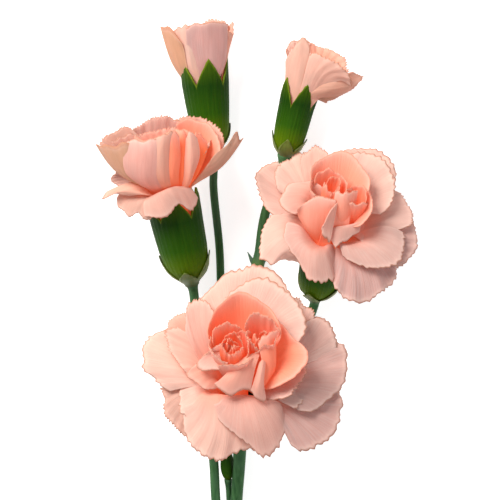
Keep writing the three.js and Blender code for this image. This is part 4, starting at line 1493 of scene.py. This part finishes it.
def make_stems(material):
    make_stem("main_stem_tube", [CUT_END, LEAF_JOINT, UPPER_JOINT, TOP_JOINT], MAIN_RADIUS, material,
              "main_stem", joints=[LEAF_JOINT, UPPER_JOINT, TOP_JOINT])
    for node, (head_name, points, radius) in STALKS.items():
        path = [*points, on_axis(head_name, STALK_BELOW_FOOT), on_axis(head_name, STALK_INTO_FOOT)]
        joints = [BRACT_JOINT] if BRACT_JOINT in points else []
        make_stem(node + "_tube", path, radius, material, node, joints, ends=(0.25, 0.9))
    path = [SMALL_STALK_START, on_axis("small_bud", -3), on_axis("small_bud", 0.5)]
    make_stem("small_bud_stalk_tube", path, SMALL_RADIUS, material, "small_bud_stalk", ends=(0.2, 0.3))


# ---------------------------------------------------------------- leaves and bracts
BLADE_ACROSS = 12
BLADE_STEP = 0.9
LEAF_WIDTH = 5.0
LEAF_THICKNESS = 0.49
BRACT_WIDTH = 1.1
BRACT_THICKNESS = 0.28

# Where each leaf leaves its joint, and the places that it then passes, outwards from that start.
LEAF_START = (1.5, -1.2, 0.6)
LEAVES = {
    "leaf_left": (-1, [(6, 4.5, 4), (19, 8, 7), (32, 4, 5), (41, -5, -2.6)]),
    "leaf_right": (1, [(6, 4, 4), (18, 5, 6.5), (29, -1, 4.5), (37, -11, -2.6)]),
}
# The same for the bracts, from the middle of their joint.
BRACT_PATH = [(0.9, -1.0, 0), (1.7, 1.0, 0.2), (2.9, 3.4, 0.6)]
BRACTS = {"bract_left": -1, "bract_right": 1}


def outwards(start, side, step):
    """A step from a place: to the left for side -1, to the right for side 1."""
    return tuple(Vector(start) + Vector((side * step[0], step[1], step[2])))


def make_blade(node, points, width, thickness, material):
    """A narrow, slightly hollow leaf that tapers to its tip."""
    curve = curve_through(points, BLADE_STEP)
    side, face = sides_of(curve)

    def rule(u, v):
        ring = ring_numbers(v, len(curve))
        taper = np.minimum(1, 0.04 + (1 - v) * 1.7) * np.minimum(1, 0.62 + 1.4 * v)
        half = width / 2 * taper * (1 + 0.03 * np.sin(9 * v))
        hollow = 0.38 * half * np.abs(u) ** 1.3
        return curve[ring] + (half * u)[..., None] * side[ring] + hollow[..., None] * face[ring]

    sheet = new_sheet(node + "_blade", BLADE_ACROSS, len(curve) - 1)
    shape_sheet(sheet, rule, TO_FRAME)
    sheet.data.materials.append(material)
    thicken(sheet, thickness)
    finish_piece(sheet, [node])


def make_leaves(material):
    for node, (side, steps) in LEAVES.items():
        start = outwards(LEAF_JOINT, side, LEAF_START)
        points = [start] + [outwards(start, side, step) for step in steps]
        make_blade(node, points, LEAF_WIDTH, LEAF_THICKNESS, material)
    for node, side in BRACTS.items():
        points = [outwards(BRACT_JOINT, side, step) for step in BRACT_PATH]
        make_blade(node, points, BRACT_WIDTH, BRACT_THICKNESS, material)


# ---------------------------------------------------------------- the whole spray
def main():
    add_camera()
    add_lights()
    add_table()
    veins = make_vein_group()
    bloom = make_bloom_group()
    petal_face = petal_material("petal_face", veins, back=False)
    petal_back = petal_material("petal_back", veins, back=True)
    make_petals([petal_face, petal_back])
    calyx_green = calyx_material(veins)
    bract_olive = scale_material(veins)
    for head_name in CALYCES:
        make_calyx(head_name, calyx_green)
        for order, (azimuth, tip, half_width) in enumerate(SCALES[head_name]):
            make_scale(head_name, order, azimuth, tip, half_width, bract_olive)
    make_small_bud(calyx_green)
    make_stems(stem_material(bloom))
    make_leaves(leaf_material(veins, bloom))


main()
